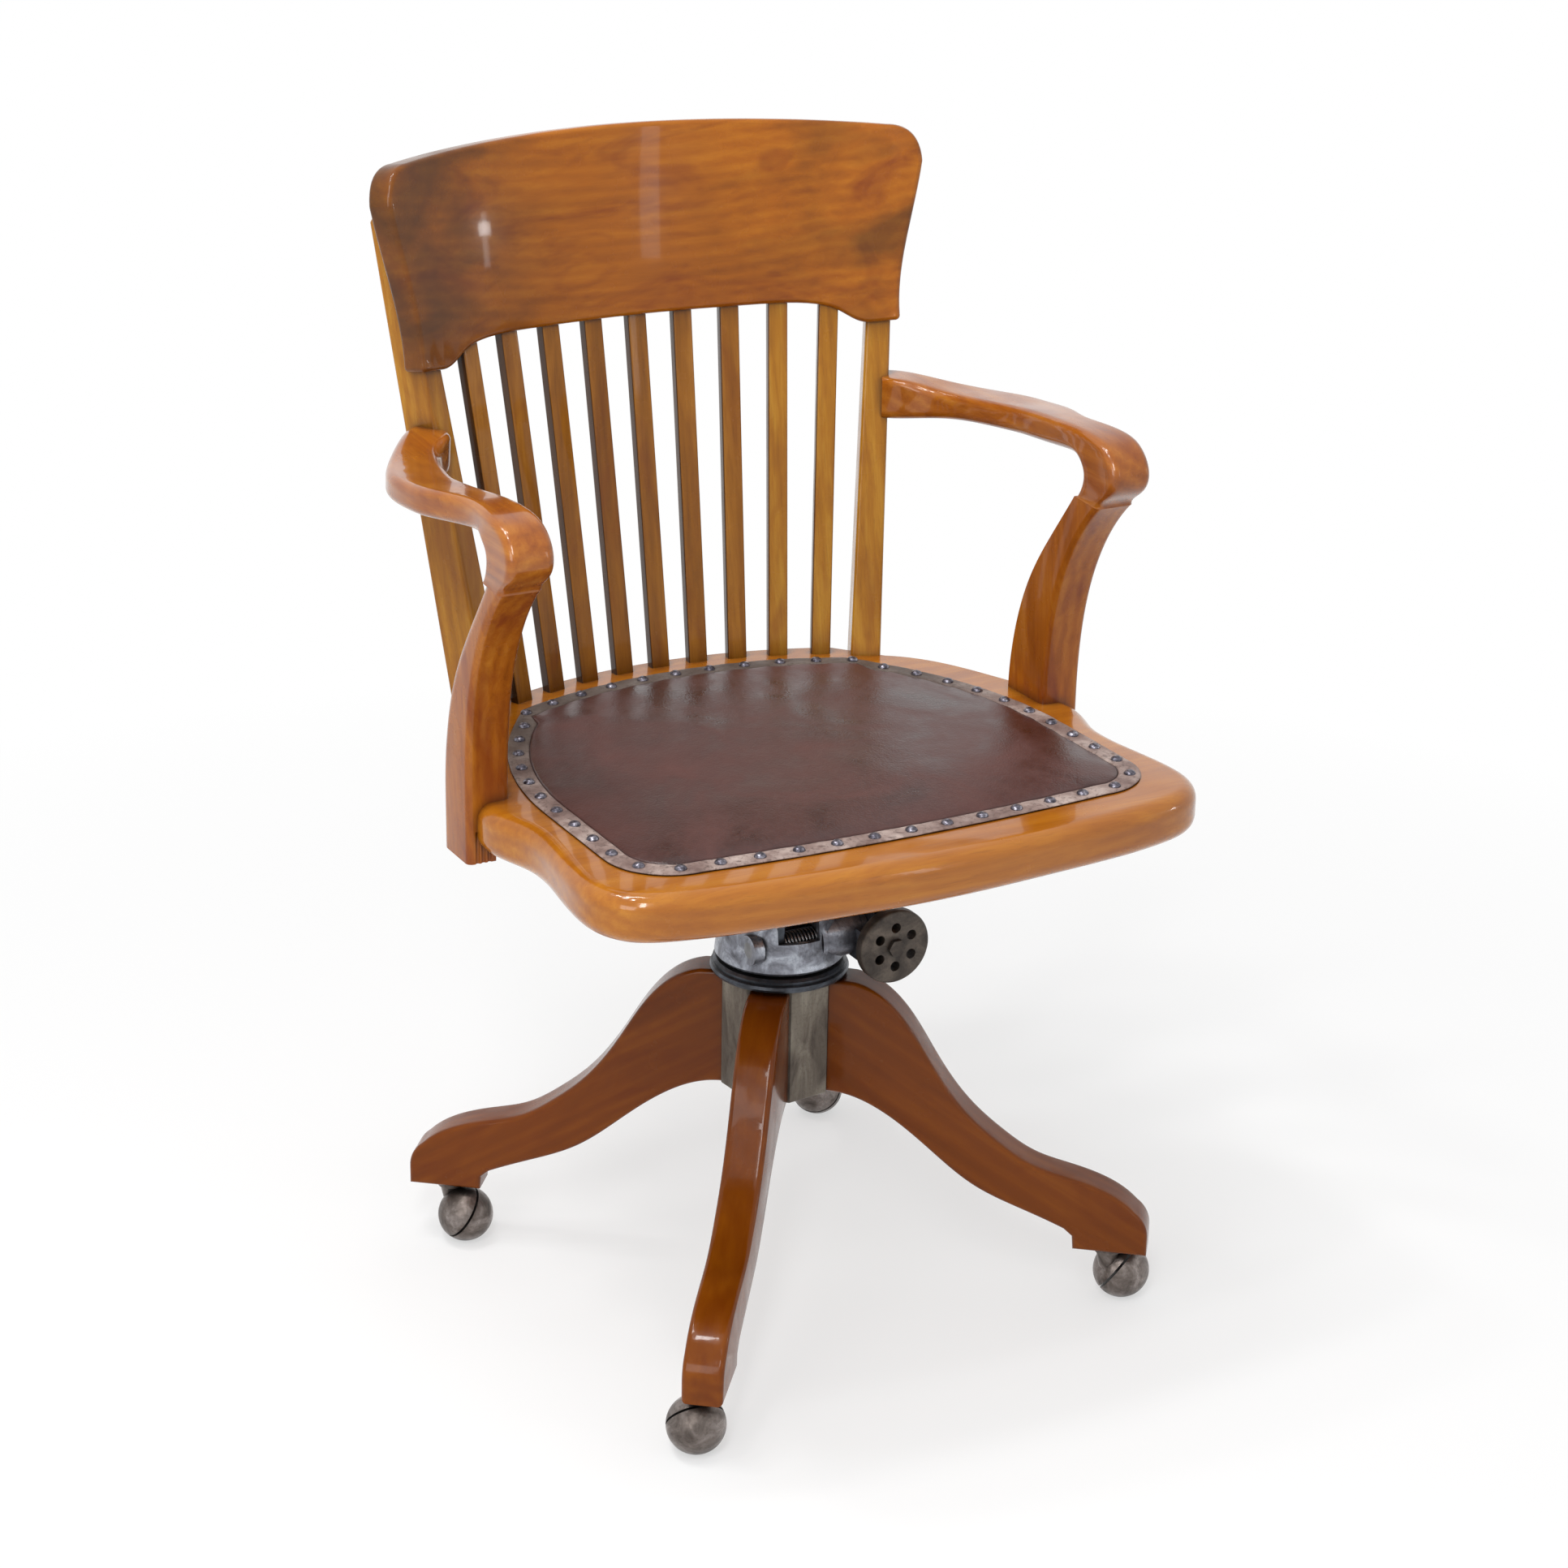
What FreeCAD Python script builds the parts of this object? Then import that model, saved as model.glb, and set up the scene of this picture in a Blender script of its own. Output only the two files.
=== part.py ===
import FreeCAD
import Part
import Sketcher
import math
import os

# Bankers swivel chair in millimetres, +Z up, sitter facing -Y, origin on the floor under the swivel axis.
# Left and right are the sitter's: left is +X. The base is turned as it was last left, legs between the axes.

vec = FreeCAD.Vector
X_AXIS = vec(1, 0, 0)
Y_AXIS = vec(0, 1, 0)
Z_AXIS = vec(0, 0, 1)
SIDES = {"left": 1, "right": -1}

# Driving sizes: alias, value, what it is
SIZES = (
    ("base_turn", -128.7, "direction of leg 1 from +X, degrees"),
    ("hub_apothem", 43, "hub centre to a flat"),
    ("hub_bottom", 172, "height of the hub's lower face"),
    ("hub_top", 272, "height of the hub's upper face"),
    ("hub_bore", 24, "radius of the hub's bore, which the bush fills"),
    ("leg_thickness", 32, "leg across its flat sides"),
    ("leg_reach", 308, "axis to the tip of a leg"),
    ("foot_height", 50.5, "floor to the flat under a foot"),
    ("leg_edge", 4, "rounding along the leg's edges"),
    ("stud_radius", 4, "stud that draws a leg to the hub"),
    ("stud_length", 58, "stud, from inside the hub to inside the leg"),
    ("stud_low", 194, "height of the lower stud of a leg"),
    ("stud_high", 244, "height of the upper stud of a leg"),
    ("key_bottom", 180, "spindle key, lower end"),
    ("key_top", 262, "spindle key, upper end"),
    ("key_inner", 13.7, "spindle key, swivel axis to its inner face"),
    ("key_depth", 7.3, "spindle key, inner to outer face"),
    ("key_width", 6, "spindle key, across"),
    ("key_gap", 0.1, "spindle key to each side of its way"),
    ("caster_circle", 276, "axis to a caster stem"),
    ("ball_radius", 23, "ball caster"),
    ("ball_side", 9, "stem to ball centre, along the axle"),
    ("ball_trail", 13, "stem to ball centre, across the axle"),
    ("axle_slope", 35, "caster axle below the horizontal, degrees"),
    ("axle_radius", 4, "caster axle"),
    ("axle_length", 33, "caster axle"),
    ("stem_radius", 5.5, "caster stem"),
    ("socket_radius", 8, "outside of the stem socket"),
    ("spindle_radius", 17, "threaded height spindle"),
    ("journal_radius", 14, "journal that the seat turns on"),
    ("journal_top", 323, "upper end of the journal, under its nut"),
    ("thread_radius", 10, "threaded end above the journal"),
    ("spindle_top", 343, "upper end of the spindle"),
    ("washer_radius", 24, "thrust washer"),
    ("running_gap", 0.05, "radial clearance of a running fit"),
    ("nut_radius", 56, "height nut rim"),
    ("nut_bottom", 272.4, "height nut, lower face"),
    ("nut_top", 283.7, "height nut, upper face"),
    ("head_bottom", 286.2, "swivel head, lower face"),
    ("bell_radius", 52.5, "swivel head's bell, near its foot"),
    ("bell_top", 340, "swivel head's bell, rim"),
    ("bell_wall", 4.5, "swivel head's bell, wall at its rim"),
    ("tilt_y", -30, "tilt axis, in front of the swivel axis"),
    ("tilt_z", 307, "tilt axis, height"),
    ("shaft_radius", 6.5, "tilt shaft"),
    ("barrel_radius", 19, "spring barrel"),
    ("barrel_start", 12, "spring barrel, end nearer the middle"),
    ("barrel_length", 41.5, "spring barrel"),
    ("boss_radius", 12, "boss that holds the tilt shaft's other end"),
    ("coil_radius", 8.4, "tilt spring, axis to wire centre"),
    ("wire_radius", 1.1, "tilt spring wire"),
    ("coil_pitch", 3.1, "tilt spring, turn to turn"),
    ("coil_turns", 21, "tilt spring turns"),
    ("disc_radius", 31, "tension disc"),
    ("disc_thickness", 11, "tension disc"),
    ("disc_x", 66, "tension disc axis, to the sitter's left"),
    ("disc_z", 304, "tension disc axis, height"),
    ("disc_front", -70.5, "tension disc, front face"),
    ("finger_circle", 16.5, "tension disc, axis to a finger hole"),
    ("finger_radius", 4.2, "finger hole"),
    ("tension_radius", 5, "tension screw"),
    ("ear_left", 54.2, "spider's ear on the sitter's left, inner face"),
    ("ear_left_width", 8, "spider's ear on the sitter's left"),
    ("ear_right", -24.5, "spider's ear on the sitter's right, outer face"),
    ("ear_right_width", 6, "spider's ear on the sitter's right"),
    ("spider_thickness", 7, "spider's plate and arms"),
    ("spider_arm", 30, "spider's arm, across"),
    ("seat_bottom", 422, "underside of the seat board"),
    ("seat_top", 460, "upper face of the seat board"),
    ("seat_edge", 13, "rounding of the seat board's edge"),
    ("pad_crown", 14, "leather pad, rise at its middle"),
    ("gimp_width", 18, "leather band round the pad"),
    ("gimp_height", 2.4, "leather band round the pad"),
    ("nail_radius", 4.5, "dome of a seat nail"),
    ("nail_pitch", 31, "seat nail to seat nail"),
    ("slat_width", 16.5, "back slat"),
    ("slat_thickness", 10, "back slat"),
    ("slat_low_pitch", 34.1, "slat to slat at the seat"),
    ("slat_high_pitch", 40.4, "slat to slat at the crest rail"),
    ("slat_foot", 446, "slat's lower end, in the seat board"),
    ("slat_top", 772, "slat's upper end, in the crest rail"),
    ("slat_turn", 5.3, "turn from one slat to the next, degrees"),
    ("back_lean", 9.2, "lean of the back, degrees"),
    ("crest_radius", 458, "front face of the crest rail, in plan"),
    ("crest_thickness", 22, "crest rail"),
    ("post_depth", 40, "back post at the seat, front to rear"),
    ("post_top_depth", 29, "back post at its top, front to rear"),
    ("support_inner", 237, "inner face of an arm support, from the middle"),
    ("support_outer", 272, "outer face of an arm support, from the middle"),
    ("lap_depth", 12, "arm support let into the edge of the seat"),
    ("flute_radius", 1.6, "flute at the foot of an arm support"),
    ("flute_pitch", 4.8, "flute to flute"),
    ("arm_edge", 7, "rounding of the arms"),
)

doc = FreeCAD.newDocument("bankers_swivel_chair")
sheet = doc.addObject("Spreadsheet::Sheet", "Sizes")
for row, (alias, value, note) in enumerate(SIZES, start=1):
    sheet.set(f"A{row}", note)
    sheet.set(f"B{row}", str(value))
    sheet.setAlias(f"B{row}", alias)
doc.recompute()

pieces = []


def size(alias):
    """A driving size as a plain number."""
    return float(sheet.get(alias))


def bind(obj, **expressions):
    """Ties properties of an object to expressions on the sheet."""
    for name, expression in expressions.items():
        obj.setExpression(name, expression)
    return obj


def piece(obj, label):
    """Names a finished sub-part, which is then written to a file of that name."""
    obj.Label = label
    pieces.append(obj)
    return obj


def turned_to(direction):
    return FreeCAD.Rotation(Z_AXIS, direction)


def rod(name, radius, height, base, direction=Z_AXIS):
    """A cylinder from base along direction; radius and height are expressions."""
    obj = bind(doc.addObject("Part::Cylinder", name), Radius=radius, Height=height)
    obj.Placement = FreeCAD.Placement(base, turned_to(direction))
    return obj


def block(name, low, high):
    """A box between two corners."""
    obj = doc.addObject("Part::Box", name)
    obj.Length, obj.Width, obj.Height = (b - a for a, b in zip(low, high))
    obj.Placement.Base = vec(*low)
    return obj


def fused(name, parts):
    obj = doc.addObject("Part::MultiFuse", name)
    obj.Shapes = list(parts)
    return obj


def less(name, base, tool):
    obj = doc.addObject("Part::Cut", name)
    obj.Base, obj.Tool = base, tool
    return obj


def shared(name, base, tool):
    obj = doc.addObject("Part::Common", name)
    obj.Base, obj.Tool = base, tool
    return obj


def grouped(name, parts):
    """Separate solids that share one node."""
    obj = doc.addObject("Part::Compound", name)
    obj.Links = list(parts)
    return obj


def softened(name, base, radius, chosen):
    """Rounds the edges that chosen picks."""
    doc.recompute()
    obj = doc.addObject("Part::Fillet", name)
    obj.Base = base
    obj.Edges = [(i, radius, radius) for i, e in enumerate(base.Shape.Edges, start=1) if chosen(e)]
    return obj


def shaped(name, shape):
    """A feature whose shape is worked out here."""
    obj = doc.addObject("Part::Feature", name)
    obj.Shape = shape
    return obj


def plane_of(body, role):
    return next(f for f in body.Origin.OriginFeatures if f.Role == role)


def new_sketch(body, role, name):
    sketch = body.newObject("Sketcher::SketchObject", name)
    sketch.AttachmentSupport = [(plane_of(body, role), "")]
    sketch.MapMode = "FlatFace"
    return sketch


def polygon(sketch, corners):
    """Closed outline whose corners are pairs of expressions, each tied to the sheet."""
    points = [vec(*(float(sketch.evalExpression(c)) for c in corner), 0) for corner in corners]
    for i, point in enumerate(points):
        sketch.addGeometry(Part.LineSegment(point, points[(i + 1) % len(points)]), False)
    count = len(points)
    for i in range(count):
        sketch.addConstraint(Sketcher.Constraint("Coincident", i, 2, (i + 1) % count, 1))
    for i, (corner, point) in enumerate(zip(corners, points)):
        for kind, expression, value in zip(("DistanceX", "DistanceY"), corner, point):
            n = sketch.addConstraint(Sketcher.Constraint(kind, -1, 1, i, 1, value))
            sketch.setExpression(f"Constraints[{n}]", expression)


def turned(name, corners):
    """A body turned about Z from an outline of (radius, height) expressions."""
    body = doc.addObject("PartDesign::Body", name)
    sketch = new_sketch(body, "XZ_Plane", name + "_profile")
    polygon(sketch, corners)
    turn = body.newObject("PartDesign::Revolution", name + "_turn")
    turn.Profile = sketch
    turn.ReferenceAxis = (sketch, ["V_Axis"])
    turn.Angle = 360
    return body


def curve_through(points):
    """One smooth edge through a few points."""
    curve = Part.BSplineCurve()
    curve.interpolate(points)
    return curve.toShape()


def lines_through(points):
    return [Part.LineSegment(a, b).toShape() for a, b in zip(points, points[1:])]


def face_of(edges):
    return Part.Face(Part.Wire(Part.__sortEdges__(edges)))


def leg_angle(number):
    return math.radians(size("base_turn") + 90 * (number - 1))


def outward(number):
    return vec(math.cos(leg_angle(number)), math.sin(leg_angle(number)), 0)


def turn_to_key(obj):
    """Turns a block about the swivel axis to where the key is, midway between two legs."""
    turn = FreeCAD.Rotation(Z_AXIS, size("base_turn") + 45)
    obj.Placement = FreeCAD.Placement(turn.multVec(obj.Placement.Base), turn)


# Pedestal: iron hub, its bush, plate and key
def pedestal():
    prism = bind(
        doc.addObject("Part::Prism", "hub_block"),
        Circumradius="Sizes.hub_apothem / cos(22.5 deg)",
        Height="Sizes.hub_top - Sizes.hub_bottom",
    )
    prism.Polygon = 8
    prism.Placement = FreeCAD.Placement(
        vec(0, 0, size("hub_bottom")), FreeCAD.Rotation(Z_AXIS, size("base_turn") - 22.5)
    )
    bore = rod("hub_hole", "Sizes.hub_bore", "Sizes.hub_top", vec(0, 0, 0))
    studs = []
    for number in range(1, 5):
        for level in ("low", "high"):
            start = outward(number) * 28 + vec(0, 0, size(f"stud_{level}"))
            name = f"stud_{number}_{level}"
            studs.append(rod(name, "Sizes.stud_radius", "Sizes.stud_length", start, outward(number)))
    group = grouped("studs", studs)
    piece(group, "leg_studs")
    hub = less("hub_bored", prism, fused("hub_holes", [bore, grouped("stud_holes", studs)]))
    piece(softened("hub", hub, 2, lambda e: e.BoundBox.ZLength < 0.1 and e.Length > 25), "pedestal_hub")
    inner, half = size("key_inner"), size("key_width") / 2
    outer = inner + size("key_depth")
    key = block("key_bar", (inner, -half, size("key_bottom")), (outer, half, size("key_top")))
    turn_to_key(key)
    piece(key, "spindle_key")
    sleeve = turned(
        "bush_sleeve",
        (
            ("Sizes.spindle_radius + Sizes.running_gap", "Sizes.hub_bottom + 6"),
            ("Sizes.hub_bore", "Sizes.hub_bottom + 6"),
            ("Sizes.hub_bore", "Sizes.hub_top - 1"),
            ("Sizes.spindle_radius + Sizes.running_gap", "Sizes.hub_top - 1"),
        ),
    )
    piece(less("bush", sleeve, key), "hub_bush")
    cap = turned(
        "cap",
        (
            ("0", "Sizes.hub_bottom - 3.5"),
            ("34", "Sizes.hub_bottom - 3.5"),
            ("36", "Sizes.hub_bottom"),
            ("Sizes.hub_bore", "Sizes.hub_bottom"),
            ("Sizes.hub_bore", "Sizes.hub_bottom + 5"),
            ("0", "Sizes.hub_bottom + 5"),
        ),
    )
    piece(cap, "hub_bottom_plate")
    return studs


# A sawn leg: profile in its own upright plane, radius outwards along X
def leg_profile():
    heel = size("hub_apothem")
    low = [(heel, 172), (60, 170), (96, 153), (128, 128), (166, 99), (205, 82), (240, 68)]
    high = [(297, 88), (272, 105), (240, 115), (212, 123), (186, 139), (160, 161), (128, 204),
            (103, 243), (84, 261), (62, 270)]
    foot = size("foot_height")
    reach = size("leg_reach")
    upright = lambda pairs: [vec(a, 0, b) for a, b in pairs]
    edges = [curve_through(upright(low))]
    edges += lines_through(upright([(240, 68), (247, 62), (248, foot), (reach, foot), (reach, foot + 16)]))
    edges.append(Part.Arc(*upright([(reach, foot + 16), (305.4, 78), (297, 88)])).toShape())
    edges.append(curve_through(upright(high)))
    edges += lines_through(upright([(62, 270), (heel, 271), (heel, 172)]))
    return face_of(edges)


def legs(studs):
    long_edge = lambda e: abs(e.BoundBox.YLength) < 0.1 and e.BoundBox.XMax > size("hub_apothem") + 2
    for number in range(1, 5):
        board = shaped(f"leg_board_{number}", leg_profile())
        half = "Sizes.leg_thickness / 2"
        sawn = bind(doc.addObject("Part::Extrusion", f"leg_sawn_{number}"), LengthFwd=half, LengthRev=half)
        sawn.Base = board
        sawn.DirMode = "Custom"
        sawn.Dir = Y_AXIS
        sawn.Solid = True
        rounded = softened(f"leg_rounded_{number}", sawn, size("leg_edge"), long_edge)
        turned_leg = doc.addObject("Part::Compound", f"leg_turned_{number}")
        turned_leg.Links = [rounded]
        turned_leg.Placement.Rotation = FreeCAD.Rotation(Z_AXIS, math.degrees(leg_angle(number)))
        stem = outward(number) * size("caster_circle")
        socket_hole = rod(f"socket_hole_{number}", "Sizes.socket_radius", "42",
                          stem + vec(0, 0, size("foot_height") - 1))
        holes = fused(f"leg_holes_{number}", [socket_hole] + studs[2 * number - 2 : 2 * number])
        piece(less(f"leg_{number}_solid", turned_leg, holes), f"leg_{number}")


# Ball casters: socket, stem, hood, slanted axle and wheel
CASTERS = {1: (-102, -1), 2: (-49, 1), 3: (44, 1), 4: (-12, -1)}


def casters():
    sockets = []
    radius = size("ball_radius")
    slope = math.radians(size("axle_slope"))
    for number, (turn, hand) in CASTERS.items():
        stem = outward(number) * size("caster_circle")
        side = vec(math.cos(math.radians(turn)), math.sin(math.radians(turn)), 0)
        across = Z_AXIS.cross(side) * hand
        centre = stem + side * size("ball_side") + across * size("ball_trail") + vec(0, 0, radius)
        pole = side * math.cos(slope) - Z_AXIS * math.sin(slope)
        foot = size("foot_height")
        sleeve = rod(f"sleeve_{number}", "Sizes.socket_radius", "40.5", stem + vec(0, 0, foot - 0.5))
        flange = rod(f"flange_{number}", "Sizes.socket_radius + 4", "1.5", stem + vec(0, 0, foot - 1.5))
        hollow = rod(f"socket_bore_{number}", "Sizes.stem_radius + Sizes.running_gap", "37",
                     stem + vec(0, 0, foot - 1.5))
        sockets.append(less(f"socket_{number}", fused(f"socket_body_{number}", [sleeve, flange]), hollow))
        pin = rod(f"stem_{number}", "Sizes.stem_radius", "46", stem + vec(0, 0, 38))
        piece(pin, f"caster_{number}_stem")
        ball = bind(doc.addObject("Part::Sphere", f"hood_ball_{number}"), Radius="Sizes.ball_radius")
        ball.Placement.Base = centre
        half = rod(f"hood_side_{number}", "60", "60", centre - pole * 65, pole)
        shell = shared(f"hood_shell_{number}", ball, half)
        neck = bind(doc.addObject("Part::Cone", f"neck_{number}"), Height="17")
        neck.Radius1, neck.Radius2 = 6.5, 10
        neck.Placement.Base = stem + vec(0, 0, 31)
        plate = rod(f"neck_plate_{number}", "11.5", "2.2", stem + vec(0, 0, 46.4))
        axle = rod(f"axle_{number}", "Sizes.axle_radius", "Sizes.axle_length", centre - pole * 17, pole)
        piece(axle, f"caster_{number}_axle")
        holes = fused(f"hood_holes_{number}", [pin, axle])
        body = fused(f"hood_body_{number}", [shell, neck, plate])
        piece(less(f"hood_{number}", body, holes), f"caster_{number}_hood")
        wheel_ball = bind(doc.addObject("Part::Sphere", f"wheel_ball_{number}"), Radius="Sizes.ball_radius")
        wheel_ball.Placement.Base = centre
        wheel_half = rod(f"wheel_side_{number}", "60", "60", centre - pole * 3, pole)
        wheel_bore = rod(f"wheel_bore_{number}", "Sizes.axle_radius + Sizes.running_gap", "40",
                         centre - pole * 23.5, pole)
        wheel = less(f"wheel_{number}", shared(f"wheel_cap_{number}", wheel_ball, wheel_half), wheel_bore)
        piece(wheel, f"caster_{number}_wheel")
    piece(grouped("sockets", sockets), "caster_sockets")


# Height adjustment: nut, keyed spindle, washer and retaining nut
def height_adjuster():
    nut = turned(
        "nut",
        (
            ("Sizes.spindle_radius + Sizes.running_gap", "Sizes.nut_bottom"),
            ("Sizes.nut_radius - 4", "Sizes.nut_bottom"),
            ("Sizes.nut_radius - 1", "Sizes.nut_bottom + 1.2"),
            ("Sizes.nut_radius", "Sizes.nut_bottom + 3.4"),
            ("Sizes.nut_radius - 1", "Sizes.nut_bottom + 5.6"),
            ("Sizes.nut_radius - 3", "Sizes.nut_bottom + 6.6"),
            ("Sizes.nut_radius - 2.2", "Sizes.nut_top - 2"),
            ("Sizes.nut_radius - 4.4", "Sizes.nut_top"),
            ("Sizes.spindle_radius + Sizes.running_gap", "Sizes.nut_top"),
        ),
    )
    piece(nut, "height_nut")
    shoulder = "Sizes.head_bottom - 2.2"
    screw = turned(
        "screw",
        (
            ("0", "Sizes.hub_bottom + 14"),
            ("Sizes.spindle_radius - 2", "Sizes.hub_bottom + 14"),
            ("Sizes.spindle_radius", "Sizes.hub_bottom + 16"),
            ("Sizes.spindle_radius", shoulder),
            ("Sizes.journal_radius", shoulder),
            ("Sizes.journal_radius", "Sizes.journal_top"),
            ("Sizes.thread_radius", "Sizes.journal_top"),
            ("Sizes.thread_radius", "Sizes.spindle_top"),
            ("0", "Sizes.spindle_top"),
        ),
    )
    half = size("key_width") / 2 + size("key_gap")
    inner, low, high = size("key_inner") - 0.2, size("hub_bottom"), size("hub_top") - 1
    way = block("keyway", (inner, -half, low), (30, half, high))
    turn_to_key(way)
    piece(less("spindle_keyed", screw, way), "spindle")
    washer = turned(
        "washer",
        (
            ("Sizes.journal_radius", shoulder),
            ("Sizes.washer_radius", shoulder),
            ("Sizes.washer_radius", "Sizes.head_bottom - 0.2"),
            ("Sizes.journal_radius", "Sizes.head_bottom - 0.2"),
        ),
    )
    piece(washer, "thrust_washer")
    hexagon = doc.addObject("Part::Prism", "retaining_hexagon")
    hexagon.Polygon, hexagon.Circumradius, hexagon.Height = 6, 19, 12
    hexagon.Placement.Base = vec(0, 0, size("journal_top"))
    hole = rod("retaining_hole", "Sizes.thread_radius", "Sizes.spindle_top", vec(0, 0, 0))
    piece(less("retaining", hexagon, hole), "retaining_nut")


def on_tilt_axis(x):
    return vec(x, size("tilt_y"), size("tilt_z"))


# Iron swivel head: bell round the journal, spring barrel, shaft boss and tension bracket
def swivel_head():
    y, z = size("tilt_y"), size("tilt_z")
    bore = "Sizes.journal_radius + Sizes.running_gap"
    bell = turned(
        "bell",
        (
            (bore, "Sizes.head_bottom"),
            ("Sizes.bell_radius - 2", "Sizes.head_bottom"),
            ("Sizes.bell_radius", "Sizes.head_bottom + 2.5"),
            ("Sizes.bell_radius - 6", "Sizes.bell_top"),
            ("Sizes.bell_radius - 6 - Sizes.bell_wall", "Sizes.bell_top"),
            ("Sizes.bell_radius - 5.5", "Sizes.head_bottom + 6"),
            ("Sizes.journal_radius + 4", "Sizes.head_bottom + 6"),
            ("Sizes.journal_radius + 4", "Sizes.journal_top - 0.5"),
            (bore, "Sizes.journal_top - 0.5"),
        ),
    )
    window = block("window", (-25, -60, z + 5.5), (9, -30, 345))
    start, end = size("barrel_start"), size("barrel_start") + size("barrel_length")
    barrel = rod("barrel", "Sizes.barrel_radius", "Sizes.barrel_length", on_tilt_axis(start), X_AXIS)
    inner_flange = rod("inner_flange", "Sizes.barrel_radius + 1.5", "4", on_tilt_axis(start), X_AXIS)
    outer_flange = rod("outer_flange", "Sizes.barrel_radius + 1.5", "4", on_tilt_axis(end - 4), X_AXIS)
    boss = rod("boss", "Sizes.boss_radius", "9", on_tilt_axis(-45), X_AXIS)
    disc_axis = vec(size("disc_x"), -58, size("disc_z"))
    pad = rod("bracket_pad", "17", "8", disc_axis, Y_AXIS)
    arm = block("bracket_arm", (42, -58, z - 17), (size("disc_x"), -50, z + 9))
    rib = block("bracket_rib", (42, -52, z - 17), (end, y, z + 9))
    body = fused("head_body", [less("bell_open", bell, window), barrel, inner_flange, outer_flange,
                               boss, pad, arm, rib])
    centre_hole = rod("centre_hole", bore, "60", vec(0, 0, 280))
    cavity = rod("spring_cavity", "Sizes.coil_radius + 2.6", "69", on_tilt_axis(-18), X_AXIS)
    shaft_hole = rod("shaft_hole", "Sizes.shaft_radius", "130", on_tilt_axis(-65), X_AXIS)
    ear, beyond = size("ear_right") - 0.7, size("ear_right") + size("ear_right_width") + 0.7
    ear_room = block("ear_room", (ear, y - 11.2, z - 11.5), (beyond, y + 40, 350))
    screw_start = disc_axis - Y_AXIS * 5
    screw_hole = rod("screw_hole", "Sizes.tension_radius + Sizes.running_gap", "20", screw_start, Y_AXIS)
    holes = fused("head_holes", [centre_hole, cavity, shaft_hole, screw_hole, ear_room])
    piece(less("head", body, holes), "swivel_head")
    piece(rod("shaft", "Sizes.shaft_radius", "118", on_tilt_axis(-45), X_AXIS), "tilt_shaft")
    hexagon = doc.addObject("Part::Prism", "shaft_hexagon")
    hexagon.Polygon, hexagon.Circumradius, hexagon.Height = 6, 11.5, 6
    hexagon.Placement = FreeCAD.Placement(on_tilt_axis(63.5), turned_to(X_AXIS))
    hole = rod("shaft_nut_hole", "Sizes.shaft_radius", "10", on_tilt_axis(62), X_AXIS)
    piece(less("shaft_nut_solid", hexagon, hole), "shaft_nut")


def biarc(p, p_way, q, q_way):
    """Two tangent arcs from p to q, leaving along p_way and arriving along q_way."""
    v = q - p
    t = v.dot(p_way + q_way)
    bend = 2 * (1 - p_way.dot(q_way))
    d = (math.sqrt(t * t + bend * v.dot(v)) - t) / bend
    corner_p = p + p_way * d
    corner_q = q - q_way * d
    joint = (corner_p + corner_q) * 0.5
    edges = []
    for start, corner, end in ((p, corner_p, joint), (joint, corner_q, q)):
        chord = end - start
        weight = chord.Length / 2 / (corner - start).Length
        middle = (start + corner * (2 * weight) + end) * (1 / (2 + 2 * weight))
        edges.append(Part.Arc(start, middle, end).toShape())
    return edges


def least_gap(coil_points, wire_radius):
    """Least clearance between points of the wire that are over half a turn apart."""
    per_turn = 24
    nearest = min(
        a.distanceToPoint(b)
        for i, a in enumerate(coil_points)
        for b in coil_points[i + per_turn // 2 : i + 2 * per_turn]
    )
    return nearest - 2 * wire_radius


# Tilt spring: an unbroken wire in quarter turns round the tilt shaft
def tilt_spring():
    radius, pitch, turns = size("coil_radius"), size("coil_pitch"), int(size("coil_turns"))
    start_x = -16.5

    def at(quarter):
        angle = quarter * math.pi / 2
        middle = on_tilt_axis(start_x + pitch * quarter / 4)
        return middle + vec(0, radius * math.cos(angle), radius * math.sin(angle))

    def way(quarter):
        angle = quarter * math.pi / 2
        rise = pitch / (2 * math.pi)
        direction = vec(rise, -radius * math.sin(angle), radius * math.cos(angle))
        return direction.normalize()

    edges = []
    for quarter in range(4 * turns):
        edges += biarc(at(quarter), way(quarter), at(quarter + 1), way(quarter + 1))
    path = Part.Wire(edges)
    ring = Part.Wire(Part.Circle(at(0), way(0), size("wire_radius")).toShape())
    coil = path.makePipeShell([ring], True, False)
    section = math.pi * size("wire_radius") ** 2
    gap = least_gap(path.discretize(24 * turns + 1), size("wire_radius"))
    print("spring least gap to itself", round(gap, 2))
    print("spring volume over section times length", round(coil.Volume / (path.Length * section), 4))
    piece(shaped("spring", coil), "tilt_spring")


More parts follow.
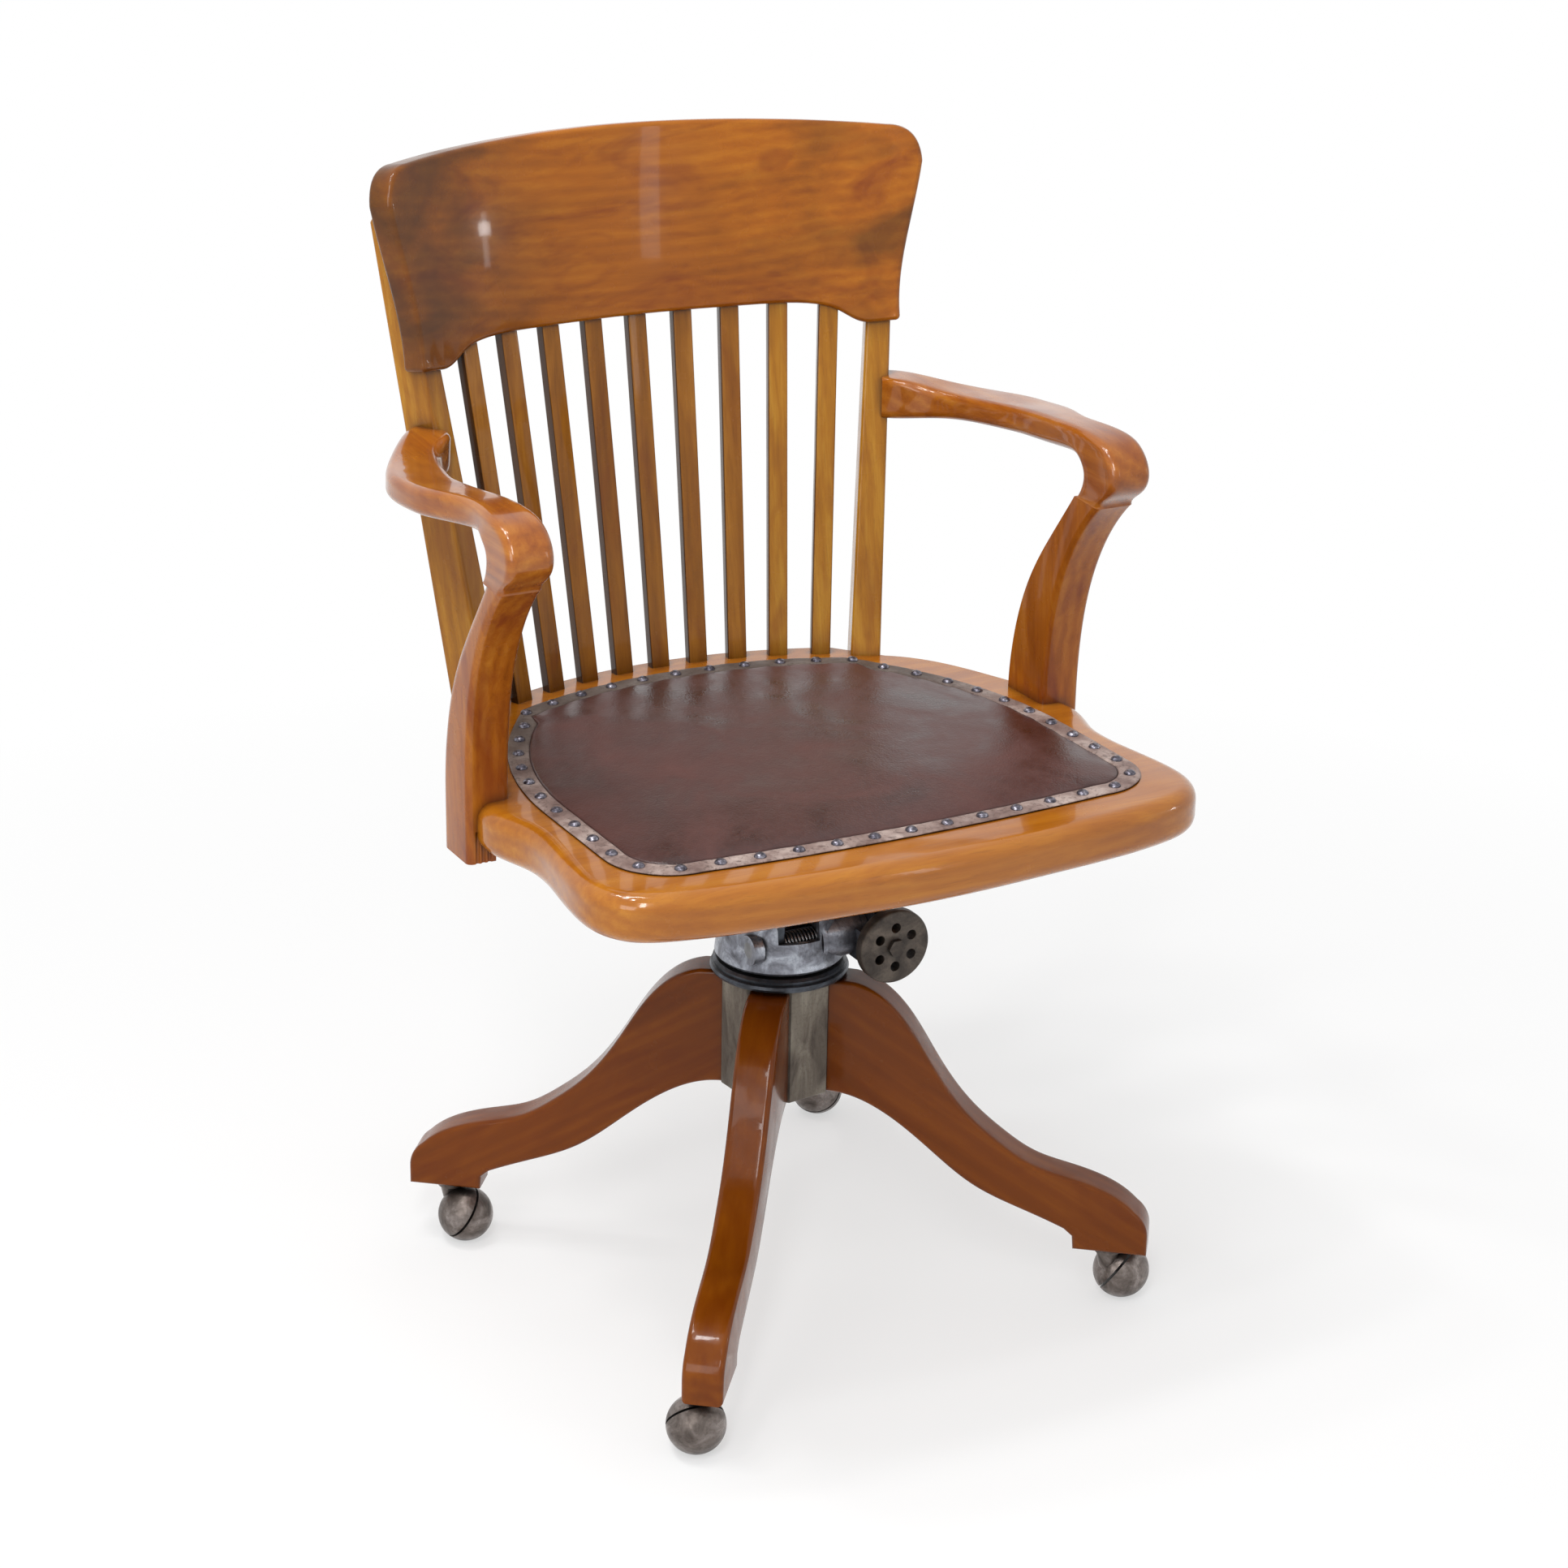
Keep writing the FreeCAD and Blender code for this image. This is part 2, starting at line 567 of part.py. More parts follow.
# Tension disc with six finger holes, and its screw
def tension_disc():
    body = doc.addObject("PartDesign::Body", "disc")
    sketch = new_sketch(body, "XY_Plane", "disc_profile")
    sketch.addGeometry(Part.Circle(vec(0, 0, 0), Z_AXIS, size("disc_radius")), False)
    sketch.addConstraint(Sketcher.Constraint("Coincident", 0, 3, -1, 1))
    rim = sketch.addConstraint(Sketcher.Constraint("Radius", 0, size("disc_radius")))
    sketch.setExpression(f"Constraints[{rim}]", "Sizes.disc_radius")
    pad = bind(body.newObject("PartDesign::Pad", "disc_pad"), Length="Sizes.disc_thickness")
    pad.Profile = sketch
    hole_sketch = new_sketch(body, "XY_Plane", "finger_hole")
    finger = vec(0, size("finger_circle"), 0)
    hole_sketch.addGeometry(Part.Circle(finger, Z_AXIS, size("finger_radius")), False)
    centre_sketch = new_sketch(body, "XY_Plane", "screw_seat")
    centre_sketch.addGeometry(Part.Circle(vec(0, 0, 0), Z_AXIS, size("tension_radius")), False)
    doc.recompute()
    centre = body.newObject("PartDesign::Pocket", "centre_pocket")
    centre.Profile = centre_sketch
    centre.Type = "ThroughAll"
    centre.Reversed = True
    hole = body.newObject("PartDesign::Pocket", "finger_pocket")
    hole.Profile = hole_sketch
    hole.Type = "ThroughAll"
    hole.Reversed = True
    doc.recompute()
    ring = body.newObject("PartDesign::PolarPattern", "finger_holes")
    ring.Originals = [hole]
    ring.Axis = (hole_sketch, ["N_Axis"])
    ring.Angle = 360
    ring.Occurrences = 6
    body.Tip = ring
    doc.recompute()
    soft = body.newObject("PartDesign::Fillet", "disc_rounding")
    rims = [f"Edge{i}" for i, e in enumerate(ring.Shape.Edges, start=1) if e.BoundBox.XLength > 50]
    soft.Base = (ring, rims)
    soft.Radius = 2.5
    body.Tip = soft
    front = vec(size("disc_x"), size("disc_front"), size("disc_z"))
    body.Placement = FreeCAD.Placement(front + Y_AXIS * size("disc_thickness"), turned_to(Y_AXIS * -1))
    piece(body, "tension_disc")
    screw = rod("tension_rod", "Sizes.tension_radius", "23.5", front, Y_AXIS)
    head = doc.addObject("Part::Prism", "tension_head")
    head.Polygon, head.Circumradius, head.Height = 6, 7.5, 3.5
    head.Placement = FreeCAD.Placement(front, turned_to(Y_AXIS * -1))
    piece(fused("tension_screw_solid", [screw, head]), "tension_screw")


# Iron spider under the seat: plate, four arms, two ears and a stop lug
SPIDER_SCREWS = ((-150, -168), (150, -168), (-118, 118), (118, 118), (0, -62), (0, 48))


def spider():
    y, z = size("tilt_y"), size("tilt_z")
    top, bottom = size("seat_bottom"), size("seat_bottom") - size("spider_thickness")
    plate = block("spider_plate", (-64, -76, bottom), (64, 62, top))
    parts = [plate]
    for x, arm_y in SPIDER_SCREWS[:4]:
        half = size("spider_arm") / 2
        bar = block("spider_arm_bar", (0, -half, bottom), (math.hypot(x, arm_y), half, top))
        turn = FreeCAD.Rotation(Z_AXIS, math.degrees(math.atan2(arm_y, x)))
        bar.Placement = FreeCAD.Placement(turn.multVec(bar.Placement.Base), turn)
        end = rod("spider_end", "Sizes.spider_arm / 2", "Sizes.spider_thickness", vec(x, arm_y, bottom))
        parts += [bar, end]
    for side in SIDES:
        x, wide = size(f"ear_{side}"), size(f"ear_{side}_width")
        ear = [(y - 10, z), (y + 10, z), (y + 11, 345), (38, bottom + 1), (y - 26, bottom + 1), (y - 12, 345)]
        ear.append(ear[0])
        outline = shaped(f"ear_outline_{side}", Part.Face(Part.makePolygon([vec(x, a, b) for a, b in ear])))
        plate_ear = doc.addObject("Part::Extrusion", f"ear_{side}")
        plate_ear.Base, plate_ear.DirMode, plate_ear.Dir = outline, "Custom", X_AXIS
        plate_ear.LengthFwd, plate_ear.Solid = wide, True
        parts += [plate_ear, rod(f"eye_{side}", "10", str(wide), on_tilt_axis(x), X_AXIS)]
    x, wide = size("ear_left"), size("ear_left_width")
    parts.append(block("stop_toe", (x, y - 26, z + 14.4), (x + wide, y, z + 28)))
    eye_hole = rod("eye_hole", "Sizes.shaft_radius + Sizes.running_gap", "140", on_tilt_axis(-70), X_AXIS)
    screws = []
    for number, (x, screw_y) in enumerate(SPIDER_SCREWS, start=1):
        shank = rod(f"spider_shank_{number}", "2.5", "30", vec(x, screw_y, bottom - 1))
        head = rod(f"spider_head_{number}", "5", "3", vec(x, screw_y, bottom - 3))
        screws.append(fused(f"spider_screw_{number}", [shank, head]))
    group = piece(grouped("spider_screw_group", screws), "spider_screws")
    holes = fused("spider_holes", [eye_hole] + screws)
    piece(less("spider_drilled", fused("spider_body", parts), holes), "seat_spider")
    return group


# Back: nine slats and two posts that fan out and lean back
SEAT_LINE = 455
CREST_LINE = 747.5


def slat_front(place, height):
    """Middle of the front face of slat number place, from -4 to 4, at a height."""
    share = (height - SEAT_LINE) / (CREST_LINE - SEAT_LINE)
    low = vec(size("slat_low_pitch") * place, 211.5 - 28.1 * (place / 4) ** 2, SEAT_LINE)
    high = vec(size("slat_high_pitch") * place, 258.9 - 31 * (place / 4) ** 2, CREST_LINE)
    return low + (high - low) * share


def rounded_rectangle(centre, across, along, width, depth, radius):
    """A closed wire of lines and quarter arcs in the plane of across and along."""
    w, d = width / 2, depth / 2
    point = lambda a, b: centre + across * a + along * b
    nip = radius * (1 - math.sqrt(0.5))
    edges = []
    corners = ((1, -1), (1, 1), (-1, 1), (-1, -1))
    ends = []
    for sx, sy in corners:
        upright = point(sx * w, sy * (d - radius))
        level = point(sx * (w - radius), sy * d)
        bulge = point(sx * (w - nip), sy * (d - nip))
        order = (level, upright) if sx * sy < 0 else (upright, level)
        edges.append(Part.Arc(order[0], bulge, order[1]).toShape())
        ends.append(order)
    for i in range(4):
        edges.append(Part.LineSegment(ends[i][1], ends[(i + 1) % 4][0]).toShape())
    return Part.Wire(Part.__sortEdges__(edges))


def slats():
    made = []
    for number in range(1, 10):
        place = number - 5
        turn = math.radians(-size("slat_turn") * place)
        across = vec(math.cos(turn), math.sin(turn), 0)
        back = vec(-math.sin(turn), math.cos(turn), 0)
        wires = []
        for height in (size("slat_foot"), size("slat_top")):
            middle = slat_front(place, height) + back * (size("slat_thickness") / 2)
            width, depth = size("slat_width"), size("slat_thickness")
            wires.append(rounded_rectangle(middle, across, back, width, depth, 1.5))
        made.append(piece(shaped(f"slat_{number}_solid", Part.makeLoft(wires, True, True)), f"slat_{number}"))
    return made


def posts():
    made = []
    for side, sign in SIDES.items():
        turn = math.radians(-26 * sign)
        across = vec(math.cos(turn), math.sin(turn), 0)
        back = vec(-math.sin(turn), math.cos(turn), 0)
        wires = []
        top = size("post_top_depth")
        sections = ((424, 26, size("post_depth"), 0), (846, 18.7, top + 0.2, 0), (854, 14.5, top - 7, 2))
        for height, width, depth, inset in sections:
            rise = height - 461
            corner = vec(sign * (180.6 + 0.106 * rise), 158.6 + 0.178 * rise, height)
            middle = corner - across * (sign * (width / 2 + inset)) + back * (depth / 2 + inset)
            wires.append(rounded_rectangle(middle, across, back, width, depth, 3))
        made.append((side, shaped(f"post_blank_{side}", Part.makeLoft(wires, True, True))))
    return made


# Crest rail: a curved board with a waisted outline, its ends square to its face, leaning with the back
def crest_outline(depth):
    """The outline at a distance in front of the curve's centre, spread so that every edge is radial."""
    radius = size("crest_radius")
    low = [(0, 9), (98, 8), (147, 5), (166, -1), (181, -11), (193, -13.5)]
    side = [(213.5, -13), (216.5, 30), (225, 70), (235, 116)]
    corner = [(235, 116), (230, 136.5), (211, 147)]
    top = [(211, 147), (110, 158.3), (0, 162.5), (-110, 158.3), (-211, 147)]

    def spread(pairs, sign=1):
        return [vec(sign * a * depth / math.sqrt(radius ** 2 - a ** 2), depth - radius, b) for a, b in pairs]

    edges = [curve_through(spread(low[::-1], -1)[:-1] + spread(low))]
    for sign in (1, -1):
        edges += lines_through(spread([low[-1], side[0]], sign))
        edges.append(curve_through(spread(side, sign)))
        edges.append(curve_through(spread(corner, sign)))
    edges.append(curve_through(spread(top)))
    return Part.Wire(Part.__sortEdges__(edges))


def crest_rail():
    radius, thick = size("crest_radius"), size("crest_thickness")
    outer = rod("crest_outer", "Sizes.crest_radius + Sizes.crest_thickness", "200", vec(0, -radius, -20))
    inner = rod("crest_inner", "Sizes.crest_radius", "220", vec(0, -radius, -30))
    slab = less("crest_slab", outer, inner)
    sides = [crest_outline(radius - 120), crest_outline(radius + thick + 5)]
    board = shaped("crest_board", Part.makeLoft(sides, True, True))
    sawn = shared("crest_sawn", slab, board)
    doc.recompute()
    rounded = softened("crest_rounded", sawn, 4, lambda e: e.Length > 3)
    placed = grouped("crest_placed", [rounded])
    placed.Placement = FreeCAD.Placement(vec(0, 252, 742), FreeCAD.Rotation(X_AXIS, -size("back_lean")))
    return placed


# Arms: inner and outer point of each station in plan, with upper and lower height
ARM_STATIONS = (
    ((195, 193), (211, 228), 690, 656),
    ((214, 165), (246, 184), 689, 660),
    ((228, 135), (270, 142), 687, 665),
    ((238, 95), (284, 100), 689, 668),
    ((243, 50), (284, 52), 693, 671),
    ((240, 5), (274, 8), 697, 675),
    ((237, -25), (271, -24), 699, 678),
)
# Hand: outer and inner point of each station in the side view, (y, z), then its width and edge rounding
HAND_STATIONS = (
    ((-56, 698), (-36, 676.5), 37, 7),
    ((-79, 690), (-42, 671), 37, 7),
    ((-90, 674), (-45, 664), 37, 7),
    ((-84, 657), (-43, 654), 36, 6),
    ((-69, 642), (-37, 645), 35, 5),
)


def arms():
    radius = size("arm_edge")
    made = {}
    for side, sign in SIDES.items():
        wires = []
        for (xi, yi), (xo, yo), high, low in ARM_STATIONS:
            inner, outer = vec(sign * xi, yi, 0), vec(sign * xo, yo, 0)
            across = (outer - inner).normalize()
            width = math.hypot(xo - xi, yo - yi)
            centre = (inner + outer) * 0.5
            middle = vec(centre.x, centre.y, (high + low) / 2)
            wires.append(rounded_rectangle(middle, across, Z_AXIS, width, high - low, radius))
        for (y_out, z_out), (y_in, z_in), width, edge in HAND_STATIONS:
            outer, inner = vec(0, y_out, z_out), vec(0, y_in, z_in)
            upward = (outer - inner).normalize()
            across_middle = (size("support_outer") + size("support_inner")) / 2
            centre = (outer + inner) * 0.5 + X_AXIS * (sign * across_middle)
            depth = (outer - inner).Length
            wires.append(rounded_rectangle(centre, X_AXIS * sign, upward, width, depth, edge))
        made[side] = shaped(f"arm_blank_{side}", Part.makeLoft(wires, True, False))
    return made


# Arm support: sawn to a swept side profile, lapped over the edge of the seat
def supports():
    made = {}
    front = [(-69, 642), (-38, 604), (-19, 562), (-9, 516), (-6, 462)]
    rear = [(46, 462), (41, 505), (22, 560), (-8, 606), (-37, 645)]
    lap = size("support_inner") + size("lap_depth")
    for side, sign in SIDES.items():
        flat = lambda pairs, x: [vec(sign * x, a, b) for a, b in pairs]
        edges = [curve_through(flat(front, 0)), curve_through(flat(rear, 0))]
        edges += lines_through(flat([(-6, 462), (-6, 412), (46, 412), (46, 462)], 0))
        edges += lines_through(flat([(-37, 645), (-69, 642)], 0))
        outline = shaped(f"support_outline_{side}", face_of(edges))
        sawn = doc.addObject("Part::Extrusion", f"support_sawn_{side}")
        sawn.Base, sawn.DirMode, sawn.Dir = outline, "Custom", X_AXIS * sign
        sawn.LengthFwd, sawn.LengthRev, sawn.Solid = size("support_outer"), -size("support_inner"), True
        curved = lambda e: e.BoundBox.ZLength > 60 and e.BoundBox.XLength < 1
        outside = lambda e: abs(e.BoundBox.XMax + e.BoundBox.XMin) > 520
        outer_rear = lambda e: curved(e) and e.BoundBox.YMax > 30 and outside(e)
        eased = softened(f"support_eased_{side}", sawn, 14, outer_rear)
        rounded = softened(f"support_rounded_{side}", eased, 5,
                           lambda e: curved(e) and e.BoundBox.YMax < 0.1)
        notch = block(f"support_notch_{side}", (min(sign * 200, sign * lap), -40, 400),
                      (max(sign * 200, sign * lap), 80, size("seat_top")))
        flutes = []
        for n in range(3):
            foot = vec(sign * (254.5 + size("flute_pitch") * n), -6.4, 408)
            flutes.append(rod(f"flute_{side}_{n}", "Sizes.flute_radius", "30", foot))
        made[side] = less(f"support_{side}", rounded, fused(f"support_cuts_{side}", [notch] + flutes))
    return made


# Seat board: shaped plan with rounded edges
def board_outline(height):
    half = [(264, -20), (259, -42), (253, -62), (251, -86), (255, -125), (259, -162), (256, -192)]
    half += [(240, -216), (208, -230), (110, -243)]
    flat = lambda pairs, sign: [vec(sign * a, b, height) for a, b in pairs]
    front = flat(half, 1) + [vec(0, -249, height)] + flat(reversed(half), -1)
    edges = [curve_through(front)]
    for sign in (1, -1):
        edges += lines_through(flat([(264, -20), (264, -6), (249, -6), (249, 48)], sign))
        edges.append(curve_through(flat([(249, 48), (226, 104), (206, 137), (184, 157)], sign)))
        edges += lines_through(flat([(184, 157), (152, 196)], sign))
    edges.append(Part.Arc(*flat([(152, 196), (0, 227), (-152, 196)], 1)).toShape())
    return face_of(edges)


def build_seat_board():
    outline = shaped("board_outline", board_outline(size("seat_bottom")))
    sawn = doc.addObject("Part::Extrusion", "board_sawn")
    bind(sawn, LengthFwd="Sizes.seat_top - Sizes.seat_bottom")
    sawn.Base, sawn.DirMode, sawn.Dir, sawn.Solid = outline, "Custom", Z_AXIS, True
    front_edge = lambda e: e.BoundBox.ZLength < 0.1 and e.BoundBox.YMin < -200
    return softened("board_rounded", sawn, size("seat_edge"), front_edge)


# Leather pad, gimp band and nails, all on one outline
def band_outline(inset, height):
    """Outline of the leather band's outer edge, moved inwards by inset."""
    i = inset
    edges = []
    flat = lambda pairs, sign: [vec(sign * a, b, height) for a, b in pairs]
    for sign in (1, -1):
        corner = [(172, -198 + i), (212 - 0.7 * i, -183 + 0.7 * i), (227 - i, -146)]
        rear = [(227 - i, -40), (216 - i, 36), (168 - 0.9 * i, 138 - 0.5 * i)]
        edges.append(Part.Arc(*flat(corner, sign)).toShape())
        edges += lines_through(flat([corner[-1], rear[0]], sign))
        edges.append(Part.Arc(*flat(rear, sign)).toShape())
        edges += lines_through(flat([rear[-1], (150, 164 - i)], sign))
    edges.append(Part.Arc(*flat([(172, -198 + i), (0, -206 + i), (-172, -198 + i)], 1)).toShape())
    edges.append(Part.Arc(*flat([(150, 164 - i), (0, 196 - i), (-150, 164 - i)], 1)).toShape())
    return Part.Wire(Part.__sortEdges__(edges))


def seat_pad():
    base = size("seat_top") + 0.1
    crown = size("pad_crown")
    rim = 2.5
    rings = [(0.988, 0), (1.0, rim)]
    for share in (0.97, 0.9, 0.78, 0.6, 0.38, 0.12):
        rings.append((share, rim + (crown - rim) * (1 - share ** 2.6) ** 0.75))
    wires = []
    for share, rise in rings:
        shrink = FreeCAD.Matrix()
        shrink.scale(share, share, 1)
        shrink.move(vec(0, -12 * (1 - share), rise))
        wires.append(band_outline(size("gimp_width") + 0.6, base).transformGeometry(shrink))
    return piece(shaped("pad", Part.makeLoft(wires, True, True)), "seat_pad")


def seat_band():
    base = size("seat_top") + 0.1
    width, height, bevel = size("gimp_width"), size("gimp_height"), 0.9
    rims = ((0, 0), (0, height - bevel), (bevel, height))
    outer = Part.makeLoft([band_outline(inset, base + rise) for inset, rise in rims], True, True)
    inner = Part.makeLoft([band_outline(width - inset, base + rise) for inset, rise in rims], True, True)
    route = band_outline(width / 2, base)
    count = round(route.Length / size("nail_pitch"))
    nails = []
    for place in route.discretize(count + 1)[:-1]:
        dome = Part.makeSphere(size("nail_radius"), place + vec(0, 0, height - 1.8), Z_AXIS, 0, 90)
        shank = Part.makeCylinder(0.9, 11, place - vec(0, 0, 8.5))
        nails.append(dome.fuse(shank))
    piece(shaped("nails", Part.Compound(nails)), "seat_nails")
    piece(shaped("band", outer.cut(inner).cut(Part.Compound(nails))), "gimp_band")
    return nails


def write_pieces():
    doc.recompute()
    failed = [o.Name for o in doc.Objects if {"Invalid", "Error"} & set(o.State)]
    if failed:
        raise RuntimeError(f"objects in error: {failed}")
    for obj in pieces:
        if obj.Shape.isNull() or not obj.Shape.isValid():
            raise RuntimeError(f"bad shape: {obj.Label}")
    os.makedirs("parts", exist_ok=True)
    for obj in pieces:
        obj.Shape.exportStep(f"parts/{obj.Label}.step")
        print(obj.Label, len(obj.Shape.Solids), round(obj.Shape.Volume / 1000, 1))


studs = pedestal()
legs(studs)
casters()
height_adjuster()
swivel_head()
tilt_spring()
tension_disc()
spider_group = spider()
slat_pieces = slats()
crest = crest_rail()
post_blanks = posts()
arm_blanks = arms()
support_parts = supports()
seat_pad()
nail_tools = seat_band()
board = build_seat_board()

post_pieces = [piece(less(f"post_{side}_solid", blank, crest), f"post_{side}") for side, blank in post_blanks]
for side in SIDES:
    piece(less(f"arm_{side}_solid", arm_blanks[side], post_pieces[0 if side == "left" else 1]), f"arm_{side}")
    piece(support_parts[side], f"arm_support_{side}")
piece(less("crest_mortised", crest, grouped("slat_tops", slat_pieces)), "crest_rail")
nail_holes = shaped("nail_holes", Part.Compound(nail_tools))
board_tools = fused("board_tools", [grouped("slat_feet", slat_pieces), post_pieces[0], post_pieces[1]])
drilled = less("board_drilled", board, grouped("board_holes", [spider_group, nail_holes]))
piece(less("board_mortised", drilled, board_tools), "seat_board")
write_pieces()
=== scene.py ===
import math

import bmesh
import bpy
from mathutils import Matrix, Vector, noise

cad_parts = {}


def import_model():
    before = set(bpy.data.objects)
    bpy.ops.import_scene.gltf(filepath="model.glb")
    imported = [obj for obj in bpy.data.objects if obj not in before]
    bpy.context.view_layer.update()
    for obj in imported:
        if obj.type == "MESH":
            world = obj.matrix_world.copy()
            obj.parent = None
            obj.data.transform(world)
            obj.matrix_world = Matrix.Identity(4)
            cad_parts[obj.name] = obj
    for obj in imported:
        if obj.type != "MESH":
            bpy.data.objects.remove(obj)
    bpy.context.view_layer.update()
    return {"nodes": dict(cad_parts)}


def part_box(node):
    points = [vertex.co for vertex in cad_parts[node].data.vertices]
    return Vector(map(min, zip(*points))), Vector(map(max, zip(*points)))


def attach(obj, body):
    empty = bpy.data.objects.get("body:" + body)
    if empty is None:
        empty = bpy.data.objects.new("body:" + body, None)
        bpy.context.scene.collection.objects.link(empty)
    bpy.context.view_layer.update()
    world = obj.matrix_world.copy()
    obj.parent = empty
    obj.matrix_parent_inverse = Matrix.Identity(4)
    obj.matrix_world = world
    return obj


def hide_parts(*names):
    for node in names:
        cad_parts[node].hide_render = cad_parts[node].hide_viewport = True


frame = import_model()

NODES = frame["nodes"]
MM = 0.001


# Helpers for nodes, colours and meshes
def linear(code):
    """Linear RGBA of an sRGB hex colour."""
    channels = [int(code[i:i + 2], 16) / 255 for i in (1, 3, 5)]
    return [c / 12.92 if c <= 0.04045 else ((c + 0.055) / 1.055) ** 2.4 for c in channels] + [1]


def add(tree, kind, inputs=None, stops=(), **settings):
    """Adds a node with its settings and ramp stops; inputs are sockets to link, hex colours or values.
    On a colour Mix, input 0 is the factor, 6 and 7 are the colours, and output 2 is the result."""
    made = tree.nodes.new(kind)
    for name, value in settings.items():
        setattr(made, name, value)
    if stops:
        elements = made.color_ramp.elements
        while len(elements) < len(stops):
            elements.new(0.5)
        for element, (position, colour) in zip(elements, stops):
            element.position = position
            element.color = linear(colour)
    for key, value in (inputs or {}).items():
        if isinstance(value, bpy.types.NodeSocket):
            tree.links.new(value, made.inputs[key])
        else:
            made.inputs[key].default_value = linear(value) if isinstance(value, str) else value
    return made


def new_material(name):
    """An empty material and its Object coordinates."""
    material = bpy.data.materials.new(name)
    material.use_nodes = True
    material.node_tree.nodes.clear()
    place = add(material.node_tree, "ShaderNodeTexCoord").outputs["Object"]
    return material, material.node_tree, place


def finish_surface(tree, inputs):
    """The shader and the output that end every material."""
    shader = add(tree, "ShaderNodeBsdfPrincipled", inputs)
    add(tree, "ShaderNodeOutputMaterial", {"Surface": shader.outputs[0]})


def along_grain(tree, place, direction, shift_mm, squeeze):
    """Coordinates whose Z runs along the board, in metres, squeezed along it so that marks draw out."""
    turn = Vector(direction).normalized().rotation_difference(Vector((0, 0, 1))).to_euler()
    shift = [s * MM for s in shift_mm]
    turned = add(tree, "ShaderNodeMapping", {"Vector": place, "Rotation": turn, "Location": shift}).outputs[0]
    return add(tree, "ShaderNodeMapping", {"Vector": turned, "Scale": (1, 1, squeeze)}).outputs[0]


